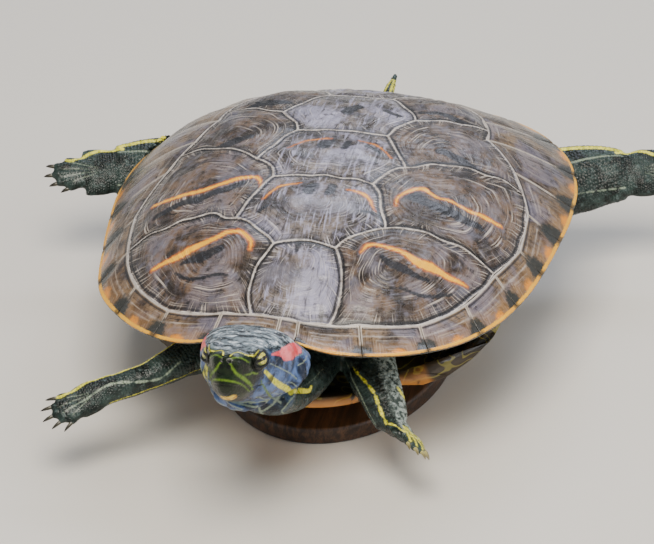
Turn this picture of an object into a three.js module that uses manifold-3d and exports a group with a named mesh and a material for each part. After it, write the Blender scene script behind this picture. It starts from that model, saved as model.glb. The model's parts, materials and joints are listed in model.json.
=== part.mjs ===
// A red-eared slider turtle (Trachemys scripta elegans), an adult female at life size, swimming,
// on a display stand. Millimetres, +Z up. The turtle faces -Y, and its left side is +X.
// The origin is the middle of the stand's underside. The shell is built plate by plate from one
// dome function. The flesh is modelled whole and parted by thin cuts.
import * as THREE from "three";
import { mergeVertices } from "three/addons/utils/BufferGeometryUtils.js";
import Module from "manifold-3d";

const wasm = await Module();
wasm.setup();

// ---------------------------------------------------------------- driving dimensions
const SHELL_LENGTH = 238;
const SHELL_WIDTH = 196;
const DOME_HEIGHT = 43; // top of the dome above the rim
const BELLY_DEPTH = 34; // underside of the plastron below the rim
const BELLY_CLEARANCE = 24; // underside of the plastron above the floor
const PLATE = 4; // thickness of a dome plate
const GAP = 0.4; // between neighbouring pieces
const CUT = 0.35; // thickness of the cuts that part the flesh

const HALF_LENGTH = SHELL_LENGTH / 2;
const HALF_WIDTH = SHELL_WIDTH / 2;
const RIM_HEIGHT = BELLY_DEPTH + BELLY_CLEARANCE;
const MARGINALS = 12; // on each side
const LEFT = 1;
const RIGHT = -1;

const COLOURS = {
  shell: "#5c4a3d",
  rim: "#7a5a3c",
  belly: "#c9a13e",
  skin: "#2c3a30",
  beak: "#3f5227",
  eye: "#a8b13a",
  brass: "#9a8a5c",
  base: "#2b2622",
};

// ---------------------------------------------------------------- small helpers
const v3 = (x, y, z) => new THREE.Vector3(x, y, z);
const lerp = THREE.MathUtils.lerp;
const clamp01 = (t) => THREE.MathUtils.clamp(t, 0, 1);
const smooth = (t) => THREE.MathUtils.smoothstep(t, 0, 1);
const bell = (t, width) => Math.exp(-((t / width) ** 2));
const radians = THREE.MathUtils.degToRad;

function solidOf(geometry) {
  const bare = new THREE.BufferGeometry().setAttribute("position", geometry.getAttribute("position"));
  if (geometry.index) bare.setIndex(geometry.index);
  const merged = mergeVertices(bare, 1e-4);
  const vertProperties = new Float32Array(merged.attributes.position.array);
  const triVerts = new Uint32Array(merged.index.array);
  return new wasm.Manifold(new wasm.Mesh({ numProp: 3, vertProperties, triVerts }));
}

function geometryOf(solid) {
  const mesh = solid.getMesh();
  const positions = new Float32Array(mesh.numVert * 3);
  for (let i = 0; i < mesh.numVert; i++) {
    positions.set(mesh.vertProperties.subarray(i * mesh.numProp, i * mesh.numProp + 3), i * 3);
  }
  const geometry = new THREE.BufferGeometry();
  geometry.setAttribute("position", new THREE.BufferAttribute(positions, 3));
  geometry.setIndex(new THREE.BufferAttribute(new Uint32Array(mesh.triVerts), 1));
  geometry.computeVertexNormals();
  return geometry;
}

// A closed surface from triangles of Vector3s, turned to face out.
function geometryFromTriangles(triangles) {
  let volume = 0;
  for (const [a, b, c] of triangles) volume += a.dot(b.clone().cross(c)) / 6;
  const positions = [];
  for (const [a, b, c] of triangles) {
    for (const p of volume < 0 ? [a, c, b] : [a, b, c]) positions.push(p.x, p.y, p.z);
  }
  const geometry = new THREE.BufferGeometry();
  geometry.setAttribute("position", new THREE.Float32BufferAttribute(positions, 3));
  geometry.computeVertexNormals();
  return geometry;
}

const centroid = (points) => points.reduce((sum, p) => sum.add(p), v3(0, 0, 0)).divideScalar(points.length);

function bandBetween(ringA, ringB) {
  const triangles = [];
  ringA.forEach((_, i) => {
    const j = (i + 1) % ringA.length;
    triangles.push([ringA[i], ringA[j], ringB[j]], [ringA[i], ringB[j], ringB[i]]);
  });
  return triangles;
}

const fan = (ring, tip) => ring.map((p, i) => [tip, p, ring[(i + 1) % ring.length]]);
const reversed = (triangles) => triangles.map(([a, b, c]) => [a, c, b]);

// A closed loop of rings, like a tyre.
const tyre = (rings) =>
  geometryFromTriangles(rings.flatMap((ring, k) => bandBetween(ring, rings[(k + 1) % rings.length])));

// Rings of equal count, closed at both ends.
function loft(rings) {
  const triangles = [];
  rings.slice(1).forEach((ring, k) => triangles.push(...bandBetween(rings[k], ring)));
  triangles.push(...reversed(fan(rings[0], centroid(rings[0]))));
  triangles.push(...fan(rings[rings.length - 1], centroid(rings[rings.length - 1])));
  return geometryFromTriangles(triangles);
}

const material = (colour, roughness = 0.5, metalness = 0) =>
  new THREE.MeshStandardMaterial({ color: colour, roughness, metalness });

function addMesh(group, name, geometry, finish) {
  const mesh = new THREE.Mesh(geometry, finish);
  mesh.name = name;
  group.add(mesh);
}

// ---------------------------------------------------------------- the dome
// Plan coordinates (x, y) are in millimetres from the shell's middle.
// reach is 0 at the middle and 1 at the rim.
const OVAL_POWER = 2.7; // 2 is an ellipse, more is squarer
const REAR_BROADENING = 0.12;
const DOME_POWER = 3.1;
const END_FLARE = 38; // flattens the rim at the front and rear
const SIDE_FLARE = 14;
const FRONT_LIFT = 6; // the rim rises over the neck
const REAR_LIFT = 4.5;
const RIM_POWER = 10; // the next two act on the outermost part only
const RIM_LIFT = 6.4; // flares the front rim upwards
const RIM_TILT = 0.026; // the left rim is carried higher than the right one
const NECK_NOTCH = { depth: 6.5, lift: 5.5, middle: -12, width: 24 };
const RIGHT_FLARE = 5; // the right rim stands out further than the left one
const RIGHT_FLARE_LENGTH = 100;
const SHOULDER_FLARE = 3; // and a little more beside the right shoulder

const halfWidthAt = (y) => HALF_WIDTH * (1 + (REAR_BROADENING * y) / HALF_LENGTH);

function reachOf(x, y) {
  const across = Math.abs(x / halfWidthAt(y)) ** OVAL_POWER;
  const along = Math.abs(y / HALF_LENGTH) ** OVAL_POWER;
  return (across + along) ** (1 / OVAL_POWER);
}

const neckShare = (x, y) => clamp01(-y / HALF_LENGTH) ** 6 * bell(x - NECK_NOTCH.middle, NECK_NOTCH.width);

function surfaceHeight(x, y) {
  const reach = reachOf(x, y);
  const endwise = clamp01(Math.abs(y) / HALF_LENGTH / Math.max(reach, 0.05)) ** 2;
  const flare = lerp(SIDE_FLARE, END_FLARE, endwise) * reach ** 6 * (1 - reach);
  const front = clamp01(-y / HALF_LENGTH);
  const rear = clamp01(y / HALF_LENGTH);
  const lift = FRONT_LIFT * front ** 4 + NECK_NOTCH.lift * neckShare(x, y) + REAR_LIFT * rear ** 4;
  const rimLift = reach ** RIM_POWER * (RIM_LIFT * front ** 4 + RIM_TILT * x);
  return DOME_HEIGHT * (1 - reach ** DOME_POWER) - flare + lift + rimLift;
}

function surfacePoint(x, y) {
  const share = Math.min(0, x / halfWidthAt(y));
  const flare = RIGHT_FLARE * Math.exp(-((y / RIGHT_FLARE_LENGTH) ** 4)) + SHOULDER_FLARE * bell(y + 60, 22);
  return v3(x + flare * share ** 3, y + NECK_NOTCH.depth * neckShare(x, y), surfaceHeight(x, y));
}

function surfaceNormal(x, y) {
  const step = 0.5;
  const dx = surfacePoint(x + step, y).sub(surfacePoint(x - step, y));
  const dy = surfacePoint(x, y + step).sub(surfacePoint(x, y - step));
  return dx.cross(dy).normalize();
}

const below = ([x, y], depth) => surfacePoint(x, y).addScaledVector(surfaceNormal(x, y), -depth);

// The rim's half, from the front midline to the rear one, as a table of plan points by length of arc.
const RIM_STEPS = 720;
const rimTable = [{ x: 0, y: -HALF_LENGTH, length: 0 }];
for (let i = 1; i <= RIM_STEPS; i++) {
  const angle = (Math.PI * i) / RIM_STEPS;
  const y = -HALF_LENGTH * Math.sign(Math.cos(angle)) * Math.abs(Math.cos(angle)) ** (2 / OVAL_POWER);
  const x = halfWidthAt(y) * Math.sin(angle) ** (2 / OVAL_POWER);
  const last = rimTable[i - 1];
  rimTable.push({ x, y, length: last.length + Math.hypot(x - last.x, y - last.y) });
}
const NUCHAL_HALF_WIDTH = 4.5;
const MARGINAL_LENGTH = (rimTable[RIM_STEPS].length - NUCHAL_HALF_WIDTH) / MARGINALS;

// Plan point on the rim by marginal number: 0 is the nuchal plate's edge, 12 is the rear midline.
function rimPlan(number) {
  const wanted = NUCHAL_HALF_WIDTH + number * MARGINAL_LENGTH;
  const i = Math.max(1, rimTable.findIndex((p) => p.length >= wanted - 1e-6));
  const a = rimTable[i - 1];
  const b = rimTable[i];
  const t = clamp01((wanted - a.length) / (b.length - a.length));
  return [lerp(a.x, b.x, t), lerp(a.y, b.y, t)];
}

// The seam loop between the rim plates and the dome plates: its reach on each whole-numbered spoke.
const LOOP_REACH = {
  [LEFT]: [0.876, 0.867, 0.894, 0.888, 0.873, 0.89, 0.855, 0.755, 0.645, 0.69, 0.75, 0.8, 0.82],
  [RIGHT]: [0.876, 0.87, 0.902, 0.9, 0.878, 0.86, 0.75, 0.665, 0.63, 0.68, 0.75, 0.8, 0.82],
};
function loopReach(number, side) {
  const i = Math.min(MARGINALS - 1, Math.floor(number));
  return lerp(LOOP_REACH[side][i], LOOP_REACH[side][i + 1], number - i);
}

function spokePlan(number, reach, side) {
  const [x, y] = rimPlan(number);
  return [(side * x * reach * halfWidthAt(y * reach)) / halfWidthAt(y), y * reach];
}
const loopPlan = (number, side) => spokePlan(number, loopReach(number, side), side);

// ---------------------------------------------------------------- plates of the dome
// Junctions of the seams: share of the half width, share of the length from the front.
const JUNCTIONS = {
  v1v2: [0.148, 0.216],
  v2corner: [0.345, 0.283],
  v2v3: [0.225, 0.41],
  v3corner: [0.33, 0.48],
  v3v4: [0.195, 0.585],
  v4corner: [0.29, 0.665],
  v4v5: [0.13, 0.775],
};
const SEAM_STEP = 12; // length of one facet along a seam
const DOME_PLATE_BULGE = 1.3;
const SEAM_DEPTH = 0.5;

const junction = (name, side) => {
  const [across, along] = JUNCTIONS[name];
  const y = (2 * along - 1) * HALF_LENGTH;
  return [side * across * halfWidthAt(y), y];
};

// Plan points from a to b, both included, bowed sideways by bow millimetres.
function seam(a, b, bow = 0) {
  const length = Math.hypot(b[0] - a[0], b[1] - a[1]);
  const steps = Math.max(1, Math.round(length / SEAM_STEP));
  const normal = [-(b[1] - a[1]) / length, (b[0] - a[0]) / length];
  return Array.from({ length: steps + 1 }, (_, i) => {
    const t = i / steps;
    const off = bow * 4 * t * (1 - t);
    return [lerp(a[0], b[0], t) + normal[0] * off, lerp(a[1], b[1], t) + normal[1] * off];
  });
}

function loopRun(from, to, side) {
  const steps = Math.round(Math.abs(to - from) * 2);
  return Array.from({ length: steps + 1 }, (_, i) => loopPlan(lerp(from, to, i / steps), side));
}

const outlineOf = (...runs) => runs.flatMap((run) => run.slice(0, -1));
const backwards = (run) => [...run].reverse();

// The seams of one side. Bows are signed by the side so that both sides mirror.
function seamsOf(side) {
  const at = (name) => junction(name, side);
  return {
    v1: seam(loopPlan(0.5, side), at("v1v2"), side * -4),
    v2front: seam(at("v1v2"), at("v2corner"), side * 1.5),
    v2rear: seam(at("v2corner"), at("v2v3"), side * -1.5),
    v3front: seam(at("v2v3"), at("v3corner"), side * 1.2),
    v3rear: seam(at("v3corner"), at("v3v4"), side * -1.5),
    v4front: seam(at("v3v4"), at("v4corner"), side * 1),
    v4rear: seam(at("v4corner"), at("v4v5"), side * -1.5),
    v5: seam(at("v4v5"), loopPlan(10.5, side), side * 2),
    c12: seam(at("v2corner"), loopPlan(4, side), side * 3),
    c23: seam(at("v3corner"), loopPlan(6.5, side), side * 3),
    c34: seam(at("v4corner"), loopPlan(8.5, side), side * 1),
  };
}
const seams = { [LEFT]: seamsOf(LEFT), [RIGHT]: seamsOf(RIGHT) };
const crossSeam = (name, bow) => seam(junction(name, LEFT), junction(name, RIGHT), bow);
const CROSS = {
  v12: crossSeam("v1v2", -2.5),
  v23: crossSeam("v2v3", -2.5),
  v34: crossSeam("v3v4", -2),
  v45: crossSeam("v4v5", 0),
};

const FRONT_LOOP = [...loopRun(0.5, 0, RIGHT), ...loopRun(0, 0.5, LEFT)];
const REAR_LOOP = [...loopRun(10.5, MARGINALS, LEFT), ...loopRun(MARGINALS, 10.5, RIGHT).slice(1)];

// Round a middle plate: its front seam, down the left seams, its rear seam, and up the right seams.
function vertebralOutline(front, seamNames, rear) {
  const down = seamNames.map((name) => seams[LEFT][name]);
  const up = [...seamNames].reverse().map((name) => backwards(seams[RIGHT][name]));
  return outlineOf(...down, rear, ...up, front);
}
const vertebralOutlines = [
  vertebralOutline(FRONT_LOOP, ["v1"], CROSS.v12),
  vertebralOutline(backwards(CROSS.v12), ["v2front", "v2rear"], CROSS.v23),
  vertebralOutline(backwards(CROSS.v23), ["v3front", "v3rear"], CROSS.v34),
  vertebralOutline(backwards(CROSS.v34), ["v4front", "v4rear"], CROSS.v45),
  vertebralOutline(backwards(CROSS.v45), ["v5"], REAR_LOOP),
];
const costalOutlines = (side) => {
  const s = seams[side];
  return [
    outlineOf(s.v1, s.v2front, s.c12, loopRun(4, 0.5, side)),
    outlineOf(s.v2rear, s.v3front, s.c23, loopRun(6.5, 4, side), backwards(s.c12)),
    outlineOf(s.v3rear, s.v4front, s.c34, loopRun(8.5, 6.5, side), backwards(s.c23)),
    outlineOf(s.v4rear, s.v5, loopRun(10.5, 8.5, side), backwards(s.c34)),
  ];
};

// A plate of the dome: its outline drawn in by half a gap, crowned outside and offset inside.
function plateGeometry(outline) {
  const middle = [0, 1].map((axis) => outline.reduce((sum, p) => sum + p[axis], 0) / outline.length);
  const drawnIn = outline.map((p) => {
    const away = Math.hypot(p[0] - middle[0], p[1] - middle[1]);
    const share = 1 - (0.75 * GAP) / away;
    return [lerp(middle[0], p[0], share), lerp(middle[1], p[1], share)];
  });
  const ringAt = (share, depth) =>
    drawnIn.map((p) => below([lerp(middle[0], p[0], share), lerp(middle[1], p[1], share)], depth));
  const outer = [ringAt(1, SEAM_DEPTH), ringAt(0.9, -0.5 * DOME_PLATE_BULGE), ringAt(0.5, -DOME_PLATE_BULGE)];
  const inner = [ringAt(0.5, PLATE), ringAt(1, PLATE)];
  const triangles = [
    ...reversed(fan(inner[0], below(middle, PLATE))),
    ...bandBetween(inner[0], inner[1]),
    ...bandBetween(inner[1], outer[0]),
    ...bandBetween(outer[0], outer[1]),
    ...bandBetween(outer[1], outer[2]),
    ...fan(outer[2], below(middle, -DOME_PLATE_BULGE)),
  ];
  return geometryFromTriangles(triangles);
}

// ---------------------------------------------------------------- plates of the rim
const RIM_EDGE = 1.6; // thickness at the very edge
const RIM_ROOT = 6; // thickness where the rim plates meet the dome plates
const FIRST_TOOTH = 7; // from this seam backwards the rim is toothed
const REAR_TOOTH = 0.016; // how far the seams cut into the rim there

function rimSection(plan, reachOut) {
  const [inner, outer] = plan;
  const out = [lerp(inner[0], outer[0], reachOut), lerp(inner[1], outer[1], reachOut)];
  const mid = [lerp(inner[0], out[0], 0.5), lerp(inner[1], out[1], 0.5)];
  const root = below(inner, SEAM_DEPTH);
  const edge = surfacePoint(...out);
  const down = (p, depth) => p.clone().add(v3(0, 0, -depth));
  const inward = surfacePoint(lerp(inner[0], out[0], 0.4), lerp(inner[1], out[1], 0.4));
  return [root, below(mid, -0.7), edge, down(edge, RIM_EDGE), down(inward, RIM_ROOT), below(inner, RIM_ROOT)];
}

// Stations run along the rim. Each end is drawn in by half a gap.
function rimPlateGeometry(stations) {
  const rings = stations.map(({ inner, outer, reachOut }) => rimSection([inner, outer], reachOut));
  const middle = centroid(rings.flat());
  const ends = [0, rings.length - 1];
  for (const end of ends) {
    const towards = middle.clone().sub(centroid(rings[end])).normalize();
    rings[end].forEach((p) => p.addScaledVector(towards, GAP / 2));
  }
  return loft(rings);
}

const drawOut = (number, side) => {
  const inner = loopPlan(number, side);
  const outer = spokePlan(number, 1, side);
  const share = (0.5 * GAP) / Math.hypot(outer[0] - inner[0], outer[1] - inner[1]);
  const toothed = Number.isInteger(number) && number >= FIRST_TOOTH;
  const tooth = toothed ? REAR_TOOTH / (1 - loopReach(number, side)) : 0;
  const drawnIn = [lerp(inner[0], outer[0], share), lerp(inner[1], outer[1], share)];
  return { inner: drawnIn, outer, reachOut: 1 - tooth };
};

const shell = new THREE.Group();
const shellFinish = material(COLOURS.shell, 0.35);
const rimFinish = material(COLOURS.rim, 0.35);
function addPlates(name, outlines) {
  outlines.forEach((outline, i) => addMesh(shell, `${name}_${i + 1}`, plateGeometry(outline), shellFinish));
}
addPlates("vertebral", vertebralOutlines);
for (const [side, word] of [[LEFT, "left"], [RIGHT, "right"]]) {
  addPlates(`costal_${word}`, costalOutlines(side));
  for (let number = 1; number <= MARGINALS; number++) {
    const stations = [number - 1, number - 0.5, number].map((n) => drawOut(n, side));
    const digits = String(number).padStart(2, "0");
    addMesh(shell, `marginal_${word}_${digits}`, rimPlateGeometry(stations), rimFinish);
  }
}
addMesh(shell, "nuchal", rimPlateGeometry([drawOut(0, RIGHT), drawOut(0, LEFT)]), rimFinish);

// The space the rim plates need, as a ring that is taken out of the flesh.
const ROOT_ROOM = 0.04; // reach kept free inwards of the seam loop
function rimClearance() {
  const margin = 0.8;
  const pastEdge = 3;
  const pastRoot = 4;
  const overEdge = 9;
  const overRoot = 5;
  const sectionAt = (number, side) => {
    const inner = loopPlan(number, side);
    const outer = spokePlan(number, 1, side);
    const away = v3(outer[0], outer[1], 0).normalize().multiplyScalar(pastEdge);
    const step = surfacePoint(lerp(inner[0], outer[0], 0.4), lerp(inner[1], outer[1], 0.4));
    const edge = surfacePoint(...outer).add(away);
    const tooth = surfacePoint(...spokePlan(number, 1 - 1.5 * REAR_TOOTH, side));
    const root = surfacePoint(...spokePlan(number, loopReach(number, side) - ROOT_ROOM, side));
    const at = (p, height) => p.clone().add(v3(0, 0, height));
    const underRoot = at(root, -RIM_ROOT - pastRoot);
    const underStep = at(step, -RIM_ROOT - margin);
    const underTooth = at(tooth, -2 * RIM_EDGE - margin);
    const underEdge = at(edge, -RIM_EDGE - margin);
    return [underRoot, underStep, underTooth, underEdge, at(edge, overEdge), at(root, overRoot)];
  };
  const half = (side) => Array.from({ length: 2 * MARGINALS + 1 }, (_, i) => sectionAt(i / 2, side));
  return solidOf(tyre([...half(LEFT), ...half(RIGHT).slice(0, -1).reverse()]));
}

// ---------------------------------------------------------------- plastron and bridges
const BELLY_THICKNESS = 5;
const BELLY_FRONT = -96;
const BELLY_REAR = 99;
const BRIDGE_FRONT = -56;
const BRIDGE_REAR = 50;
const LOBE_HALF_WIDTH = 47; // where the belly plate turns up into the bridge
const BRIDGE_TOP = 1.5; // the bridge's top edge above the rim
const BRIDGE_CORNER = 7; // length of the turn from lobe to bridge
const BELLY_UPTURN = 6; // of the front lobe
const ANAL_NOTCH = 10;
const BELLY_STATIONS = [
  0, 0.03, 0.08, 0.14, 0.175, 0.205, 0.24, 0.36, 0.54, 0.7, 0.75, 0.785, 0.84, 0.91, 0.97, 1,
];
const BELLY_SHARES = [-1, -0.78, -0.55, -0.27, 0, 0.27, 0.55, 0.78, 1];

// inset shortens the bridges, so that the inside of the plate closes before its outside does.
function bellyHalfWidth(y, inset) {
  const frontLobe = LOBE_HALF_WIDTH * clamp01((y - BELLY_FRONT + 0.5) / 55) ** 0.42;
  const rearLobe = LOBE_HALF_WIDTH * (0.36 + 0.64 * clamp01((BELLY_REAR - y) / 50) ** 0.7);
  const frontShare = smooth((y - BRIDGE_FRONT - inset) / BRIDGE_CORNER + 1);
  const rearShare = smooth((BRIDGE_REAR - inset - y) / BRIDGE_CORNER + 1);
  const bridge = 0.9 * halfWidthAt(y) * (1 - Math.abs(y / HALF_LENGTH) ** OVAL_POWER) ** (1 / OVAL_POWER);
  return lerp(Math.min(frontLobe, rearLobe), bridge, frontShare * rearShare);
}

function bellyPoint(share, y, inset = 0) {
  const x = share * bellyHalfWidth(y, inset);
  const rise = clamp01((Math.abs(x) - LOBE_HALF_WIDTH) / (0.9 * HALF_WIDTH - LOBE_HALF_WIDTH));
  const rearEdge = clamp01((y - 80) / (BELLY_REAR - 80));
  const notch = ANAL_NOTCH * rearEdge * (1 - Math.abs(share)) ** 1.5;
  const upturn = BELLY_UPTURN * clamp01(-(y + 60) / 36) ** 1.5;
  return v3(x, y - notch, -BELLY_DEPTH + (BELLY_DEPTH + BRIDGE_TOP) * rise ** 1.7 + upturn);
}

function plastronGeometry() {
  const rings = BELLY_STATIONS.map((t) => {
    const y = lerp(BELLY_FRONT, BELLY_REAR, t);
    const lower = BELLY_SHARES.map((share) => bellyPoint(share, y));
    const upper = BELLY_SHARES.map((share) => {
      const p = bellyPoint(share, y, BELLY_THICKNESS);
      const steep = clamp01((Math.abs(p.x) - LOBE_HALF_WIDTH) / 20);
      return p.add(v3(-Math.sign(p.x) * steep * 3.5, 0, BELLY_THICKNESS - 1.5 * steep));
    });
    return [...lower, ...upper.reverse()];
  });
  return loft(rings);
}
addMesh(shell, "plastron", plastronGeometry(), material(COLOURS.belly, 0.4));

// ---------------------------------------------------------------- flesh, modelled whole
// A limb: a smooth tube through stations { at, wide, thick }, flattened across the given normal.
function limb(stations, normal, sides, rings) {
  const curve = new THREE.CatmullRomCurve3(stations.map((s) => v3(...s.at)), false, "centripetal");
  const sectionAt = (t) => {
    const place = t * (stations.length - 1);
    const i = Math.min(stations.length - 2, Math.floor(place));
    const f = place - i;
    const centre = curve.getPoint(t);
    const along = curve.getTangent(t);
    const sideways = v3(...normal).cross(along).normalize();
    const upward = along.clone().cross(sideways).normalize();
    const wide = lerp(stations[i].wide, stations[i + 1].wide, smooth(f));
    const thick = lerp(stations[i].thick, stations[i + 1].thick, smooth(f));
    return Array.from({ length: sides }, (_, k) => {
      const angle = (2 * Math.PI * k) / sides;
      const across = sideways.clone().multiplyScalar(wide * Math.cos(angle));
      return centre.clone().add(across).addScaledVector(upward, thick * Math.sin(angle));
    });
  };
  return solidOf(loft(Array.from({ length: rings + 1 }, (_, i) => sectionAt(i / rings))));
}

// The trunk fills the shell: under the dome plates, inside the bridges and over the plastron.
const TRUNK_SIDES = 24;
const TRUNK_CLEARANCE = 1.2;
const TRUNK_DOME_REACHES = [0.3, 0.55, 0.72, 0.79];
// Half width, half length and height of the rows below the rim.
const TRUNK_LOWER_ROWS = [
  [76, 88, -3],
  [69, 84, -12],
  [56, 79, -20],
  [40, 72, -BELLY_DEPTH + BELLY_THICKNESS + TRUNK_CLEARANCE],
];
function trunkSolid() {
  // Points of a rounded oval with unit half axes, squarer for a smaller power.
  const oval = (power) =>
    Array.from({ length: TRUNK_SIDES }, (_, k) => {
      const angle = (2 * Math.PI * k) / TRUNK_SIDES;
      return [Math.sin(angle), -Math.cos(angle)].map((value) => Math.sign(value) * Math.abs(value) ** power);
    });
  const domeRows = TRUNK_DOME_REACHES.map((reach) =>
    oval(2 / OVAL_POWER).map(([across, along]) => {
      const y = HALF_LENGTH * reach * along;
      const shoulder = 2 * smooth((reach - 0.72) / 0.07);
      return below([halfWidthAt(y) * reach * across, y], PLATE + TRUNK_CLEARANCE + shoulder);
    }),
  );
  const lowerRows = TRUNK_LOWER_ROWS.map(([halfWidth, halfLength, z]) =>
    oval(0.8).map(([across, along]) => v3(halfWidth * across, halfLength * along, z)),
  );
  return solidOf(loft([...domeRows, ...lowerRows]));
}

// ---- head, in its own frame: +X is its left, +Y is behind, and the origin is the tip of the snout
const HEAD_PITCH = 24; // snout up
const HEAD_YAW = -4; // towards its right
const SNOUT = [-13, -170, 36];
const HEAD_CUT = 38; // where the head parts from the neck, behind the snout
const EYE = { at: [9.4, 14.2, 1.2], radius: 4.6, sink: 1.8, lid: 1.4 };
const MOUTH = { frontHeight: -9, corner: 24, cornerHeight: -8.2, cheekSlope: 24 };
// Behind the snout, half width, height of the crown, depth of the throat.
const HEAD_SECTIONS = [
  [-0.6, 2.8, 1.6, 8.6],
  [1, 5.6, 3.4, 12.6],
  [5, 8.2, 4.6, 15.6],
  [10, 10.6, 5.6, 17.2],
  [16, 12.8, 7.6, 18],
  [23, 16.2, 9.4, 18.6],
  [31, 19.6, 11.2, 19.4],
  [39, 20.8, 11.8, 20],
  [47, 19.6, 10.6, 19.6],
];
function headRing([behind, halfWidth, crown, throat]) {
  const count = 16;
  return Array.from({ length: count }, (_, k) => {
    const angle = (2 * Math.PI * k) / count;
    const up = Math.sin(angle);
    const across = Math.cos(angle);
    const z = up > 0 ? crown * up ** 0.8 : -throat * Math.abs(up) ** 0.9;
    const narrowing = 1 - 0.2 * clamp01(-z / throat) * smooth(1 - behind / 30);
    return v3(halfWidth * narrowing * Math.sign(across) * Math.abs(across) ** 0.8, behind, z);
  });
}
const headMatrix = new THREE.Matrix4().compose(
  v3(...SNOUT),
  new THREE.Quaternion().setFromEuler(new THREE.Euler(radians(-HEAD_PITCH), 0, radians(HEAD_YAW), "ZYX")),
  v3(1, 1, 1),
);
const headPlace = (x, y, z) => v3(x, y, z).applyMatrix4(headMatrix);
const inHead = (geometry) => solidOf(geometry.applyMatrix4(headMatrix));
const eyeGeometry = (side, radius, sink = 0) => {
  const [x, y, z] = EYE.at;
  const ball = new THREE.SphereGeometry(radius, 12, 7).rotateZ(Math.PI / 2);
  return ball.translate(side * (x - sink), y, z).applyMatrix4(headMatrix);
};

function headSolid() {
  const sockets = [LEFT, RIGHT].map((side) => solidOf(eyeGeometry(side, EYE.radius + EYE.lid, EYE.sink)));
  return sockets.reduce((head, socket) => head.add(socket), inHead(loft(HEAD_SECTIONS.map(headRing))));
}

// ---- neck: rises steeply from under the front rim to a thick collar behind the head
const NECK = [
  { at: [2, -64, -13], wide: 18, thick: 11 },
  { at: [-1, -90, -13.5], wide: 17.5, thick: 11 },
  { at: [-6.5, -109, -11], wide: 17.5, thick: 10.5 },
  { at: [-11, -123, -2], wide: 19.5, thick: 11.5 },
  { at: headPlace(0.6, 47, -5).toArray(), wide: 24.4, thick: 14.8 },
  { at: headPlace(0, HEAD_CUT + 1.5, -4.5).toArray(), wide: 22.5, thick: 13.4 },
  { at: headPlace(0, HEAD_CUT - 4, -4).toArray(), wide: 14, thick: 9 },
];

// ---- feet, in their own frame: +Y runs to the toes, +Z is the upper side, the origin is the wrist or ankle
const FRONT_FOOT = {
  toes: [11, 14, 15.5, 14.5, 11.5],
  palm: 10,
  wristWide: 6.6,
  web: 0.92,
  toeRadius: 2,
  claw: 5,
};
const HIND_FOOT = {
  toes: [12, 16, 17.5, 16.5, 12],
  palm: 12,
  wristWide: 10.5,
  web: 0.97,
  toeRadius: 2.3,
  claw: 4,
};
const TOE_SIDES = 5;
const WEB_THICKNESS = 1.1;

function tube(points, radii, sides) {
  const stations = points.map((at, i) => ({ at, wide: radii[i], thick: radii[i] }));
  return limb(stations, [0, 0.05, 1], sides, points.length - 1);
}

function footSolid({ kind, clawed, spread }) {
  const { toes, palm, wristWide, web, toeRadius, claw } = kind;
  const angles = toes.map((_, i) => radians((i - (toes.length - 1) / 2) * spread));
  const fanStart = palm * 0.35;
  const pointAt = (angle, distance, height = 0) => {
    return [Math.sin(angle) * distance, fanStart + Math.cos(angle) * distance, height];
  };
  const knuckle = palm * 0.65;
  const stations = [
    { at: [0, -5, 0], wide: wristWide * 0.95, thick: 5 },
    { at: [0, 2, 0], wide: wristWide, thick: 4.4 },
    { at: [0, palm * 0.6, 0.2], wide: wristWide + 1.2, thick: 3.6 },
    { at: [0, palm + 3, -0.2], wide: wristWide + 1, thick: 2.2 },
  ];
  let solid = limb(stations, [0, 0, 1], 8, 4);
  const edge = angles.map((angle, i) => pointAt(angle, knuckle + toes[i] * web));
  const outline = [[-wristWide, palm * 0.5, 0], ...edge, [wristWide, palm * 0.5, 0]];
  const shape = new THREE.Shape(outline.map(([x, y]) => new THREE.Vector2(x, y)));
  const webbing = new THREE.ExtrudeGeometry(shape, { depth: WEB_THICKNESS, bevelEnabled: false });
  solid = solid.add(solidOf(webbing.translate(0, 0, -WEB_THICKNESS * 0.8)));
  angles.forEach((angle, i) => {
    const tip = knuckle + toes[i];
    const clawEnd = i < clawed ? tip + claw : tip + 1;
    const line = [
      pointAt(angle, knuckle * 0.5, 0.4),
      pointAt(angle, knuckle + toes[i] * 0.45, 0.7),
      pointAt(angle, tip - 0.5, -0.3),
      pointAt(angle, clawEnd, -1.4),
    ];
    solid = solid.add(tube(line, [toeRadius, toeRadius * 1.05, toeRadius * 0.75, 0.35], TOE_SIDES));
  });
  return solid;
}

// Stands a foot at its wrist, with its toes along ahead and its upper side towards up.
function placeFoot(solid, at, ahead, up) {
  const y = v3(...ahead).normalize();
  const x = y.clone().cross(v3(...up)).normalize();
  const z = x.clone().cross(y);
  const matrix = new THREE.Matrix4().makeBasis(x, y, z).setPosition(...at);
  return solidOf(geometryOf(solid).applyMatrix4(matrix));
}

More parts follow.
